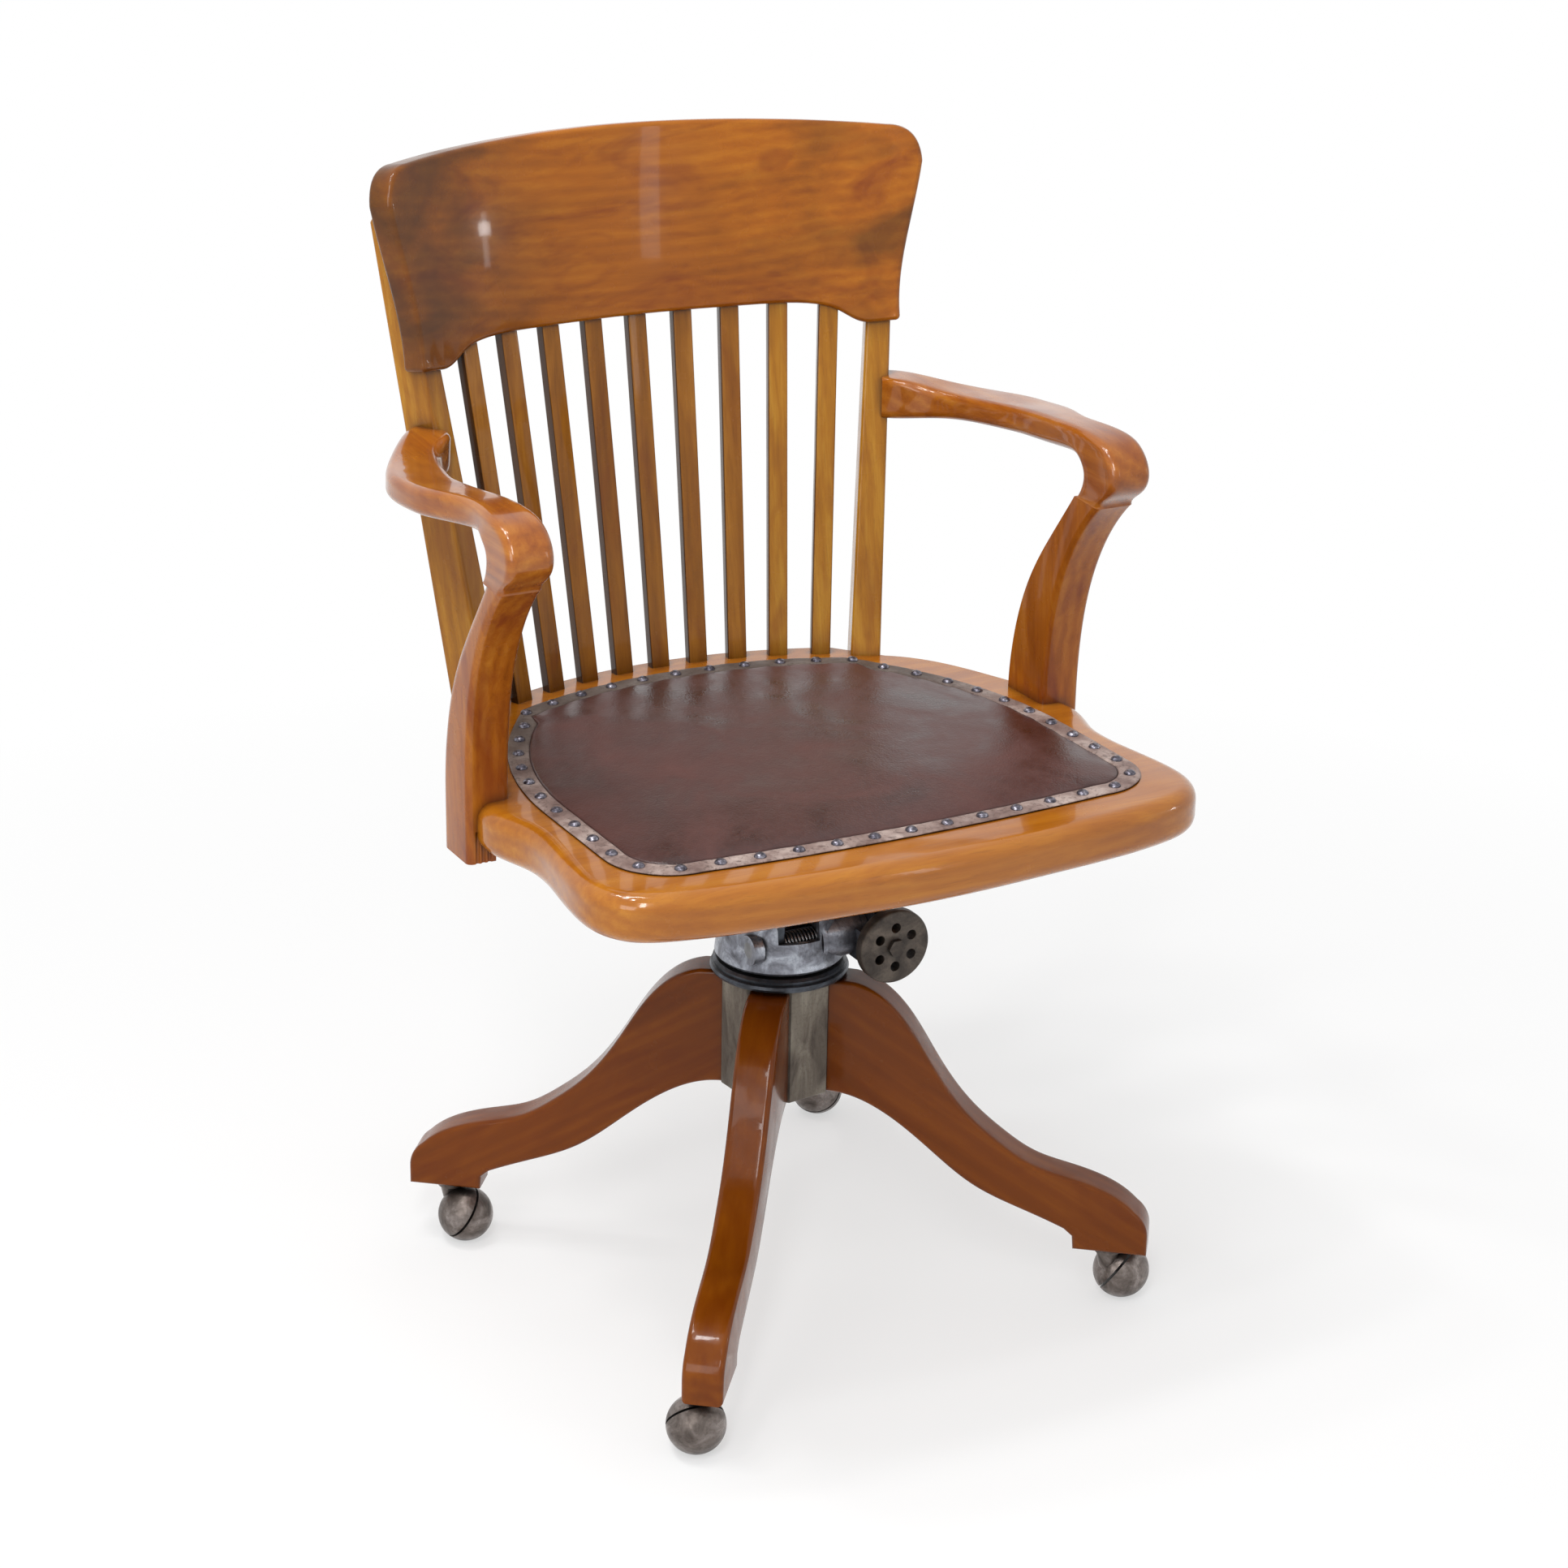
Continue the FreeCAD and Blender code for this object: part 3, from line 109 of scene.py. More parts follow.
# Materials
def varnished_hardwood(name, tones, direction, shift_mm=(0, 0, 0), streak_mm=6, gloss=0.2, blush=0.5, smudge_and_shade=0,
                       shade_reach_mm=12, pore_share=0.16, shine=0.3, calm=0.2, painted_side_shade=0):
    """Sawn hardwood under old shellac: fine streaks and faint year rings run along the board, the finish
    has gone redder in soft patches, it carries painted shade in its corners and between close parts, and
    it still shines. smudge_and_shade darkens the board in olive clouds towards its ends, and also paints
    shade that deepens towards the sitter's right end, which faces away from the light; shade_reach_mm is
    how far the painted shade of a corner reaches. shine is how much of the clear top coat is left, a calm
    board shows little figure, and painted_side_shade is how dark the painted shade on its sideways faces
    is. tones are dark pores and painted shade, red blush, deep, middle and light."""
    pore_and_shade, red, deep, middle, light = tones
    material, tree, place = new_material(name)
    along = along_grain(tree, place, direction, shift_mm, 0.07)
    broad = along_grain(tree, place, direction, shift_mm, 0.35)
    thin = along_grain(tree, place, direction, shift_mm, 0.03)
    # The pith lies outside the board, so the rings cross it as long shallow curves
    far_pith = add(tree, "ShaderNodeMapping", {"Vector": along, "Location": (0.11, 0.06, 0)}).outputs[0]
    rings = add(
        tree, "ShaderNodeTexWave",
        {"Vector": far_pith, "Scale": 30.0, "Distortion": 7.0, "Detail": 4, "Detail Scale": 0.5},
        wave_type="RINGS", rings_direction="Z", wave_profile="SIN",
    ).outputs["Fac"]
    streaks = add(
        tree, "ShaderNodeTexNoise",
        {"Vector": along, "Scale": 1 / (streak_mm * MM), "Detail": 6, "Roughness": 0.66, "Distortion": 0.5},
    ).outputs["Fac"]
    drift = add(
        tree, "ShaderNodeTexNoise",
        {"Vector": broad, "Scale": 1 / (55 * MM), "Detail": 3, "Roughness": 0.6, "Distortion": 0.7},
    ).outputs["Fac"]
    grain = add(tree, "ShaderNodeMix", {0: 0.16, 6: streaks, 7: rings}, data_type="RGBA").outputs[2]
    figure = add(tree, "ShaderNodeMix", {0: 0.45, 6: grain, 7: drift}, data_type="RGBA").outputs[2]
    bare = [(0.5 - calm, deep), (0.5, middle), (0.5 + calm, light)]
    wood = add(tree, "ShaderNodeValToRGB", {"Fac": figure}, stops=bare).outputs["Color"]
    patches = add(
        tree, "ShaderNodeTexNoise",
        {"Vector": broad, "Scale": 1 / (42 * MM), "Detail": 3, "Roughness": 0.6, "Distortion": 1.1},
    ).outputs["Fac"]
    reddened = add(
        tree, "ShaderNodeMapRange", {"Value": patches, "From Min": 0.5, "From Max": 0.68, "To Max": blush},
    ).outputs[0]
    wood = add(tree, "ShaderNodeMix", {0: reddened, 6: wood, 7: red}, data_type="RGBA").outputs[2]
    # Olive smudges in clouds near both ends, and painted shade that grows towards the sitter's right end
    if smudge_and_shade:
        across = add(tree, "ShaderNodeSeparateXYZ", {0: place}).outputs["X"]
        from_middle = add(tree, "ShaderNodeMath", {0: across}, operation="ABSOLUTE").outputs[0]
        clouds = add(
            tree, "ShaderNodeTexNoise",
            {"Vector": broad, "Scale": 1 / (40 * MM), "Detail": 3, "Roughness": 0.5, "Distortion": 0.5},
        ).outputs["Fac"]
        cloudy = add(
            tree, "ShaderNodeMapRange",
            {"Value": clouds, "From Min": 0.38, "From Max": 0.66, "To Max": smudge_and_shade},
        ).outputs[0]
        near_ends = add(
            tree, "ShaderNodeMapRange",
            {"Value": from_middle, "From Min": 0.04, "From Max": 0.19, "To Min": 0.15},
        ).outputs[0]
        held = add(tree, "ShaderNodeMath", {0: cloudy, 1: near_ends}, operation="MULTIPLY").outputs[0]
        wood = add(tree, "ShaderNodeMix", {0: held, 6: wood, 7: "#35210a"}, data_type="RGBA").outputs[2]
        # Painted shade: the board darkens evenly towards the sitter's right end, which faces away from the
        # light
        painted_end_shade = add(
            tree, "ShaderNodeMapRange",
            {"Value": across, "From Min": -0.24, "From Max": -0.08, "To Min": smudge_and_shade, "To Max": 0},
        ).outputs[0]
        wood = add(tree, "ShaderNodeMix", {0: painted_end_shade, 6: wood, 7: "#3f250d"}, data_type="RGBA").outputs[2]
    # Painted shade: faces that turn sideways along X are darkened towards the pore colour
    if painted_side_shade:
        facing = add(tree, "ShaderNodeTexCoord").outputs["Normal"]
        sideways = add(tree, "ShaderNodeSeparateXYZ", {0: facing}).outputs["X"]
        sideways = add(tree, "ShaderNodeMath", {0: sideways}, operation="ABSOLUTE").outputs[0]
        edge = add(
            tree, "ShaderNodeMapRange",
            {"Value": sideways, "From Min": 0.5, "From Max": 0.8, "To Max": painted_side_shade},
        ).outputs[0]
        wood = add(tree, "ShaderNodeMix", {0: edge, 6: wood, 7: pore_and_shade}, data_type="RGBA").outputs[2]
    # Real pores are about 0.3 mm across; they are drawn three times as wide so that they show
    open_pores = add(
        tree, "ShaderNodeTexNoise", {"Vector": thin, "Scale": 1 / (0.9 * MM), "Detail": 2, "Roughness": 0.55},
    ).outputs["Fac"]
    only_pores = [(0.58, "#000000"), (0.7, "#ffffff")]
    pores = add(tree, "ShaderNodeValToRGB", {"Fac": open_pores}, stops=only_pores).outputs["Color"]
    filled = add(tree, "ShaderNodeMapRange", {"Value": pores, "To Max": pore_share}).outputs[0]
    wood = add(tree, "ShaderNodeMix", {0: filled, 6: wood, 7: pore_and_shade}, data_type="RGBA").outputs[2]
    # Painted shade: the wood darkens towards the pore colour where other surfaces close in, in corners and
    # between parts
    corner = add(tree, "ShaderNodeAmbientOcclusion", {"Distance": shade_reach_mm * MM}, samples=8).outputs["AO"]
    painted_shade = add(
        tree, "ShaderNodeMapRange",
        {"Value": corner, "From Min": 0.35, "From Max": 0.92, "To Min": 0.8, "To Max": 0},
    ).outputs[0]
    wood = add(tree, "ShaderNodeMix", {0: painted_shade, 6: wood, 7: pore_and_shade}, data_type="RGBA").outputs[2]
    rubbed = add(
        tree, "ShaderNodeTexNoise", {"Vector": place, "Scale": 1 / (38 * MM), "Detail": 4, "Roughness": 0.55},
    ).outputs["Fac"]
    ripple = add(
        tree, "ShaderNodeTexNoise", {"Vector": broad, "Scale": 1 / (30 * MM), "Detail": 2, "Roughness": 0.45},
    ).outputs["Fac"]
    relief = add(tree, "ShaderNodeBump", {"Height": ripple, "Distance": 0.35 * MM}).outputs[0]
    for height, depth_mm in ((streaks, 0.04), (pores, -0.02)):
        relief = add(
            tree, "ShaderNodeBump", {"Height": height, "Distance": depth_mm * MM, "Normal": relief},
        ).outputs[0]
    finish_surface(tree, {
        "Base Color": wood,
        "Roughness": add(tree, "ShaderNodeMapRange", {
            "Value": rubbed, "From Min": 0.35, "From Max": 0.7,
            "To Min": gloss - 0.03, "To Max": gloss + 0.14,
        }).outputs[0],
        "Specular IOR Level": shine * 0.55,
        "Coat Weight": shine,
        "Coat Roughness": 0.05,
        "Normal": relief,
    })
    return material


def polished_leather():
    """Old vegetable-tanned cowhide, stuffed and sat on: dark red-brown, rubbed smooth and shiny on the
    crown, with fine pebbled grain, soft creases and painted shade where it meets the border and frame."""
    material, tree, place = new_material("polished_cowhide")
    # The grain of real hide is under 1 mm; it is drawn a little coarser so that it shows
    pebble = add(
        tree, "ShaderNodeTexVoronoi", {"Vector": place, "Scale": 1 / (1.5 * MM)}, feature="SMOOTH_F1",
    ).outputs["Distance"]
    creases = add(
        tree, "ShaderNodeTexNoise",
        {"Vector": place, "Scale": 1 / (9 * MM), "Detail": 5, "Roughness": 0.62, "Distortion": 1.2},
    ).outputs["Fac"]
    cloud = add(
        tree, "ShaderNodeTexNoise",
        {"Vector": place, "Scale": 1 / (75 * MM), "Detail": 4, "Roughness": 0.6, "Distortion": 0.6},
    ).outputs["Fac"]
    dyed = [(0.32, "#331815"), (0.5, "#43221e"), (0.7, "#522e29")]
    hide = add(tree, "ShaderNodeValToRGB", {"Fac": cloud}, stops=dyed).outputs["Color"]
    worn = add(
        tree, "ShaderNodeMapRange", {"Value": creases, "From Min": 0.45, "From Max": 0.75, "To Max": 0.3},
    ).outputs[0]
    hide = add(tree, "ShaderNodeMix", {0: worn, 6: hide, 7: "#5e3d37"}, data_type="RGBA").outputs[2]
    # Painted shade: the hide darkens where other surfaces close in, at the border and against the frame
    corner = add(tree, "ShaderNodeAmbientOcclusion", {"Distance": 12 * MM}, samples=8).outputs["AO"]
    painted_shade = add(
        tree, "ShaderNodeMapRange",
        {"Value": corner, "From Min": 0.35, "From Max": 0.9, "To Min": 0.7, "To Max": 0},
    ).outputs[0]
    hide = add(tree, "ShaderNodeMix", {0: painted_shade, 6: hide, 7: "#231413"}, data_type="RGBA").outputs[2]
    relief = add(tree, "ShaderNodeBump", {"Height": creases, "Distance": 0.3 * MM}).outputs[0]
    relief = add(
        tree, "ShaderNodeBump", {"Height": pebble, "Distance": 0.16 * MM, "Normal": relief},
    ).outputs[0]
    finish_surface(tree, {
        "Base Color": hide,
        "Roughness": add(
            tree, "ShaderNodeMapRange",
            {"Value": cloud, "From Min": 0.34, "From Max": 0.66, "To Min": 0.26, "To Max": 0.5},
        ).outputs[0],
        "Specular IOR Level": 0.45,
        "Normal": relief,
    })
    return material


def worn_border_leather():
    """The border strip, the same hide rubbed through to its pale flesh: pinkish grey and cracked in
    front, darker and olive towards the rear, with painted shade round the nails and along its edges."""
    material, tree, place = new_material("rubbed_border_hide")
    cracks = add(
        tree, "ShaderNodeTexNoise",
        {"Vector": place, "Scale": 1 / (4.5 * MM), "Detail": 5, "Roughness": 0.7, "Distortion": 0.8},
    ).outputs["Fac"]
    cloud = add(
        tree, "ShaderNodeTexNoise", {"Vector": place, "Scale": 1 / (26 * MM), "Detail": 3, "Roughness": 0.55},
    ).outputs["Fac"]
    rubbed = [(0.32, "#6d5650"), (0.5, "#8f7a73"), (0.68, "#b5a39b")]
    hide = add(tree, "ShaderNodeValToRGB", {"Fac": cloud}, stops=rubbed).outputs["Color"]
    split = add(
        tree, "ShaderNodeMapRange", {"Value": cracks, "From Min": 0.5, "From Max": 0.66, "To Max": 0.8},
    ).outputs[0]
    hide = add(tree, "ShaderNodeMix", {0: split, 6: hide, 7: "#4d3a34"}, data_type="RGBA").outputs[2]
    # Darker and more olive towards the rear
    rearward = add(tree, "ShaderNodeSeparateXYZ", {0: place}).outputs["Y"]
    darker_to_rear = add(
        tree, "ShaderNodeMapRange", {"Value": rearward, "From Min": -0.02, "From Max": 0.1, "To Max": 0.75},
    ).outputs[0]
    hide = add(tree, "ShaderNodeMix", {0: darker_to_rear, 6: hide, 7: "#3b342b"}, data_type="RGBA").outputs[2]
    # Painted shade: the strip darkens where other surfaces close in, round the nails and along its edges
    corner = add(tree, "ShaderNodeAmbientOcclusion", {"Distance": 4 * MM}, samples=8).outputs["AO"]
    painted_nail_shade = add(
        tree, "ShaderNodeMapRange",
        {"Value": corner, "From Min": 0.3, "From Max": 0.9, "To Min": 0.6, "To Max": 0},
    ).outputs[0]
    hide = add(tree, "ShaderNodeMix", {0: painted_nail_shade, 6: hide, 7: "#2e201c"}, data_type="RGBA").outputs[2]
    finish_surface(tree, {
        "Base Color": hide,
        "Roughness": 0.55,
        "Normal": add(tree, "ShaderNodeBump", {"Height": cracks, "Distance": 0.45 * MM}).outputs[0],
    })
    return material


def cast_iron(name, dark, middle, light, rough, metal, squeeze=1.0):
    """Sand-cast iron, once japanned and now rubbed: a pitted skin whose high spots shine, streaked
    upright where squeeze is under 1."""
    material, tree, place = new_material(name)
    upright = add(tree, "ShaderNodeMapping", {"Vector": place, "Scale": (1, 1, squeeze)}).outputs[0]
    sand = add(
        tree, "ShaderNodeTexNoise", {"Vector": place, "Scale": 1 / (2.2 * MM), "Detail": 4, "Roughness": 0.6},
    ).outputs["Fac"]
    cloud = add(
        tree, "ShaderNodeTexNoise",
        {"Vector": upright, "Scale": 1 / (19 * MM), "Detail": 4, "Roughness": 0.62, "Distortion": 0.7},
    ).outputs["Fac"]
    rubbed = [(0.32, dark), (0.5, middle), (0.7, light)]
    skin = add(tree, "ShaderNodeValToRGB", {"Fac": cloud}, stops=rubbed).outputs["Color"]
    pits = add(
        tree, "ShaderNodeMapRange", {"Value": sand, "From Min": 0.5, "From Max": 0.75, "To Max": 0.5},
    ).outputs[0]
    skin = add(tree, "ShaderNodeMix", {0: pits, 6: skin, 7: dark}, data_type="RGBA").outputs[2]
    # Painted shade: the iron darkens where other surfaces close in
    corner = add(tree, "ShaderNodeAmbientOcclusion", {"Distance": 8 * MM}, samples=8).outputs["AO"]
    painted_shade = add(
        tree, "ShaderNodeMapRange",
        {"Value": corner, "From Min": 0.4, "From Max": 0.95, "To Min": 0.8, "To Max": 0},
    ).outputs[0]
    skin = add(tree, "ShaderNodeMix", {0: painted_shade, 6: skin, 7: "#1d1a18"}, data_type="RGBA").outputs[2]
    finish_surface(tree, {
        "Base Color": skin,
        "Metallic": metal,
        "Roughness": add(
            tree, "ShaderNodeMapRange",
            {"Value": cloud, "From Min": 0.3, "From Max": 0.7, "To Min": rough + 0.1, "To Max": rough - 0.1},
        ).outputs[0],
        "Normal": add(tree, "ShaderNodeBump", {"Height": sand, "Distance": 0.22 * MM}).outputs[0],
    })
    return material


def turned_metal(name, colour):
    """Machined metal, dulled by oil: fine lathe marks and a soft shine."""
    material, tree, place = new_material(name)
    # Tool marks are about 0.1 mm apart; they are drawn coarser so that they show
    fine = add(
        tree, "ShaderNodeTexNoise",
        {"Vector": place, "Scale": 1 / (0.6 * MM), "Detail": 2, "Roughness": 0.55},
    ).outputs["Fac"]
    cloud = add(
        tree, "ShaderNodeTexNoise", {"Vector": place, "Scale": 1 / (16 * MM), "Detail": 3, "Roughness": 0.55},
    ).outputs["Fac"]
    oily = add(
        tree, "ShaderNodeMapRange", {"Value": cloud, "From Min": 0.4, "From Max": 0.7, "To Max": 0.6},
    ).outputs[0]
    finish_surface(tree, {
        "Base Color": add(
            tree, "ShaderNodeMix", {0: oily, 6: colour, 7: "#4d4943"}, data_type="RGBA",
        ).outputs[2],
        "Metallic": 1.0,
        "Roughness": add(
            tree, "ShaderNodeMapRange", {"Value": fine, "To Min": 0.28, "To Max": 0.46},
        ).outputs[0],
        "Normal": add(tree, "ShaderNodeBump", {"Height": fine, "Distance": 0.03 * MM}).outputs[0],
    })
    return material


def tarnished_nail():
    """Domed upholstery nails of plated steel gone grey-blue, with bright worn tops."""
    material, tree, place = new_material("tarnished_nail_steel")
    cloud = add(
        tree, "ShaderNodeTexNoise", {"Vector": place, "Scale": 1 / (3 * MM), "Detail": 3, "Roughness": 0.55},
    ).outputs["Fac"]
    tarnish = [(0.35, "#3d3a42"), (0.55, "#6b6872"), (0.72, "#a7a4ad")]
    finish_surface(tree, {
        "Base Color": add(tree, "ShaderNodeValToRGB", {"Fac": cloud}, stops=tarnish).outputs["Color"],
        "Metallic": 0.85,
        "Roughness": add(
            tree, "ShaderNodeMapRange",
            {"Value": cloud, "From Min": 0.35, "From Max": 0.7, "To Min": 0.42, "To Max": 0.26},
        ).outputs[0],
        "Normal": add(tree, "ShaderNodeBump", {"Height": cloud, "Distance": 0.1 * MM}).outputs[0],
    })
    return material


# Tones of the wood: dark pores and painted shade, red blush, deep, middle and light
BACK_TONES = ("#260e03", "#702c08", "#7d4008", "#9f580c", "#b67018")
GOLD_TONES = ("#331705", "#844710", "#86510f", "#a66d18", "#bd8a2d")
BROWN_TONES = ("#1e0c03", "#753a0a", "#6f4009", "#8e5710", "#aa7020")
ARM_TONES = ("#290f04", "#722d12", "#7d3f0b", "#9b5511", "#b26f22")
SEAT_TONES = ("#3a1906", "#8b480b", "#904f0b", "#a66211", "#b8761d")
LEG_TONES = ("#1c0a02", "#561c02", "#532602", "#713704", "#8c4d0a")

# Which way the grain runs
LEG_SLOPE = 0.62
LEANING = (0, 0.17, 1)
CROSSWAYS = (1, 0, 0)


def leg_direction(number):
    """Way a leg's grain runs, outwards and down, from its own box."""
    low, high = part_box(f"leg_{number}")
    middle = (low + high) / 2
    return Vector((middle.x, middle.y, -LEG_SLOPE * math.hypot(middle.x, middle.y)))


MATERIALS = {
    "back": varnished_hardwood(
        "shellacked_back_board", BACK_TONES, CROSSWAYS, shift_mm=(30, 0, 0), streak_mm=8, blush=0.6,
        smudge_and_shade=0.6, pore_share=0.06, calm=0.27,
    ),
    "gold": varnished_hardwood(
        "shellacked_upright_gold", GOLD_TONES, LEANING, shift_mm=(0, 40, 10), streak_mm=5, shade_reach_mm=34,
        painted_side_shade=0.8,
    ),
    "brown": varnished_hardwood(
        "shellacked_upright_brown", BROWN_TONES, LEANING, shift_mm=(20, 10, 30), streak_mm=5, shade_reach_mm=34,
        painted_side_shade=0.8,
    ),
    "post": varnished_hardwood(
        "shellacked_back_post", GOLD_TONES, LEANING, shift_mm=(5, 30, 20), streak_mm=5,
    ),
    "arm": varnished_hardwood(
        "shellacked_arm", ARM_TONES, (0, 1, 0.02), shift_mm=(15, 5, 0), gloss=0.17, shine=0.5,
    ),
    "support": varnished_hardwood(
        "shellacked_arm_support", ARM_TONES, (0, 0.12, 1), shift_mm=(40, 25, 0), blush=0.6,
    ),
    "seat": varnished_hardwood(
        "shellacked_seat_board", SEAT_TONES, CROSSWAYS, shift_mm=(0, 0, 15), streak_mm=7, gloss=0.16,
        blush=0.3, shine=0.5,
    ),
    "hide": polished_leather(),
    "border": worn_border_leather(),
    "nail": tarnished_nail(),
    "hub_iron": cast_iron(
        "rubbed_hub_iron", "#4f4740", "#736b60", "#8f897c", rough=0.48, metal=0.5, squeeze=0.3,
    ),
    "nut_iron": cast_iron("dark_japanned_iron", "#23262b", "#3a3f47", "#565d67", rough=0.38, metal=0.5),
    "head_iron": cast_iron("blue_grey_head_iron", "#515157", "#83868f", "#bcc2cc", rough=0.36, metal=0.75),
    "disc_iron": cast_iron("brown_grey_disc_iron", "#2d2723", "#4a423b", "#665c52", rough=0.5, metal=0.4),
    "caster": cast_iron("worn_caster_steel", "#463e39", "#6d645f", "#958c88", rough=0.34, metal=0.75),
    "steel": turned_metal("oiled_turned_steel", "#8b8c8f"),
    "brass": turned_metal("dull_bush_brass", "#a68a4c"),
}
LEGS = range(1, 5)
for number in LEGS:
    MATERIALS[f"leg_{number}"] = varnished_hardwood(
        f"shellacked_leg_{number}", LEG_TONES, leg_direction(number), shift_mm=(35 * number, 20, 0),
        streak_mm=16, gloss=0.16, blush=0.3, pore_share=0.04, shine=0.2, calm=0.36,
    )

# Finish of each CAD node; what isn't named here is turned steel
FINISHES = {
    "crest_rail": "back",
    "seat_board": "seat",
    "pedestal_hub": "hub_iron",
    "hub_bottom_plate": "hub_iron",
    "height_nut": "nut_iron",
    "seat_spider": "nut_iron",
    "swivel_head": "head_iron",
    "tension_disc": "disc_iron",
    "tension_screw": "disc_iron",
    "hub_bush": "brass",
    "thrust_washer": "brass",
    "caster_sockets": "caster",
}
SLATS = range(1, 10)
PALE_SLATS = (8, 9)
for number in SLATS:
    FINISHES[f"slat_{number}"] = "gold" if number in PALE_SLATS else "brown"
for side in ("left", "right"):
    FINISHES[f"post_{side}"] = "post"
    FINISHES[f"arm_{side}"] = "arm"
    FINISHES[f"arm_support_{side}"] = "support"
for number in LEGS:
    FINISHES[f"leg_{number}"] = f"leg_{number}"
    FINISHES[f"caster_{number}_hood"] = "caster"
    FINISHES[f"caster_{number}_wheel"] = "caster"


# Geometry node trees
def new_tree(name, inputs):
    """A geometry tree with a Geometry input, named size inputs and a Geometry output."""
    tree = bpy.data.node_groups.new(name, "GeometryNodeTree")
    face = tree.interface
    face.new_socket("Geometry", in_out="INPUT", socket_type="NodeSocketGeometry")
    for label, kind, value in inputs:
        socket = face.new_socket(label, in_out="INPUT", socket_type=kind)
        if value is not None:
            socket.default_value = value
    face.new_socket("Geometry", in_out="OUTPUT", socket_type="NodeSocketGeometry")
    return tree, tree.nodes.new("NodeGroupInput").outputs


def give_inputs(modifier, values):
    """Sets a tree's named inputs on its modifier."""
    for item in modifier.node_group.interface.items_tree:
        if item.item_type == "SOCKET" and item.in_out == "INPUT" and item.name in values:
            modifier[item.identifier] = values[item.name]


def smoothing_tree():
    """Merges loose triangles and shades them smooth between sharp edges."""
    tree, given = new_tree("smooth_between_edges", [
        ("Merge distance", "NodeSocketFloat", 0.01 * MM),
        ("Sharp angle", "NodeSocketFloat", math.radians(28)),
    ])
    merged = add(
        tree, "GeometryNodeMergeByDistance",
        {"Geometry": given["Geometry"], "Distance": given["Merge distance"]},
    )
    angle = add(tree, "GeometryNodeInputMeshEdgeAngle").outputs["Unsigned Angle"]
    sharp = add(
        tree, "FunctionNodeCompare", {"A": angle, "B": given["Sharp angle"]}, operation="GREATER_THAN",
    )
    faces = add(tree, "GeometryNodeSetShadeSmooth", {"Geometry": merged.outputs[0], "Shade Smooth": True})
    edges = add(
        tree, "GeometryNodeSetShadeSmooth",
        {"Geometry": faces.outputs[0], "Selection": sharp.outputs[0], "Shade Smooth": False},
        domain="EDGE",
    )
    add(tree, "NodeGroupOutput", {0: edges.outputs[0]})
    return tree


def nail_tree():
    """A domed nail on every point."""
    tree, given = new_tree("domed_nails", [
        ("Dome radius", "NodeSocketFloat", 4.5 * MM),
        ("Dome height", "NodeSocketFloat", 2.6 * MM),
        ("Material", "NodeSocketMaterial", None),
    ])
    ball = add(tree, "GeometryNodeMeshUVSphere", {"Segments": 20, "Rings": 10, "Radius": 1.0})
    shape = add(
        tree, "ShaderNodeCombineXYZ",
        {"X": given["Dome radius"], "Y": given["Dome radius"], "Z": given["Dome height"]},
    )
    placed = add(
        tree, "GeometryNodeInstanceOnPoints",
        {"Points": given["Geometry"], "Instance": ball.outputs[0], "Scale": shape.outputs[0]},
    )
    real = add(tree, "GeometryNodeRealizeInstances", {"Geometry": placed.outputs[0]})
    smooth = add(tree, "GeometryNodeSetShadeSmooth", {"Geometry": real.outputs[0], "Shade Smooth": True})
    done = add(
        tree, "GeometryNodeSetMaterial", {"Geometry": smooth.outputs[0], "Material": given["Material"]},
    )
    add(tree, "NodeGroupOutput", {0: done.outputs[0]})
    return tree


def thread_tree():
    """A raised screw thread wound on a core, which comes in as the geometry."""
    tree, given = new_tree("screw_thread", [
        ("Turns", "NodeSocketFloat", 16.0),
        ("Radius", "NodeSocketFloat", 16 * MM),
        ("Length", "NodeSocketFloat", 90 * MM),
        ("Ridge", "NodeSocketFloat", 1.2 * MM),
        ("Start", "NodeSocketVector", (0, 0, 0)),
        ("Material", "NodeSocketMaterial", None),
    ])
    spiral = add(tree, "GeometryNodeCurveSpiral", {
        "Resolution": 40, "Rotations": given["Turns"], "Start Radius": given["Radius"],
        "End Radius": given["Radius"], "Height": given["Length"],
    })
    ridge = add(
        tree, "GeometryNodeCurvePrimitiveCircle", {"Resolution": 6, "Radius": given["Ridge"]}, mode="RADIUS",
    )
    wound = add(
        tree, "GeometryNodeCurveToMesh",
        {"Curve": spiral.outputs[0], "Profile Curve": ridge.outputs[0], "Fill Caps": True},
    )
    moved = add(
        tree, "GeometryNodeTransform", {"Geometry": wound.outputs[0], "Translation": given["Start"]},
    )
    both = add(tree, "GeometryNodeJoinGeometry")
    tree.links.new(moved.outputs[0], both.inputs[0])
    tree.links.new(given["Geometry"], both.inputs[0])
    real = add(tree, "GeometryNodeRealizeInstances", {"Geometry": both.outputs[0]})
    done = add(
        tree, "GeometryNodeSetMaterial", {"Geometry": real.outputs[0], "Material": given["Material"]},
    )
    add(tree, "NodeGroupOutput", {0: done.outputs[0]})
    return tree


# Meshes
def link_piece(name, mesh, material=None):
    """An object at the origin with this mesh and material."""
    piece = bpy.data.objects.new(name, mesh)
    bpy.context.scene.collection.objects.link(piece)
    if material is not None:
        mesh.materials.clear()
        mesh.materials.append(material)
    return piece


def grown(name, mesh, tree, values):
    """The plain mesh that a geometry tree makes from a mesh."""
    source = link_piece(name + "_source", mesh)
    modifier = source.modifiers.new("grow", "NODES")
    modifier.node_group = tree
    give_inputs(modifier, values)
    bpy.context.view_layer.update()
    graph = bpy.context.evaluated_depsgraph_get()
    result = bpy.data.meshes.new_from_object(source.evaluated_get(graph))
    bpy.data.objects.remove(source)
    result.name = name
    return link_piece(name, result)


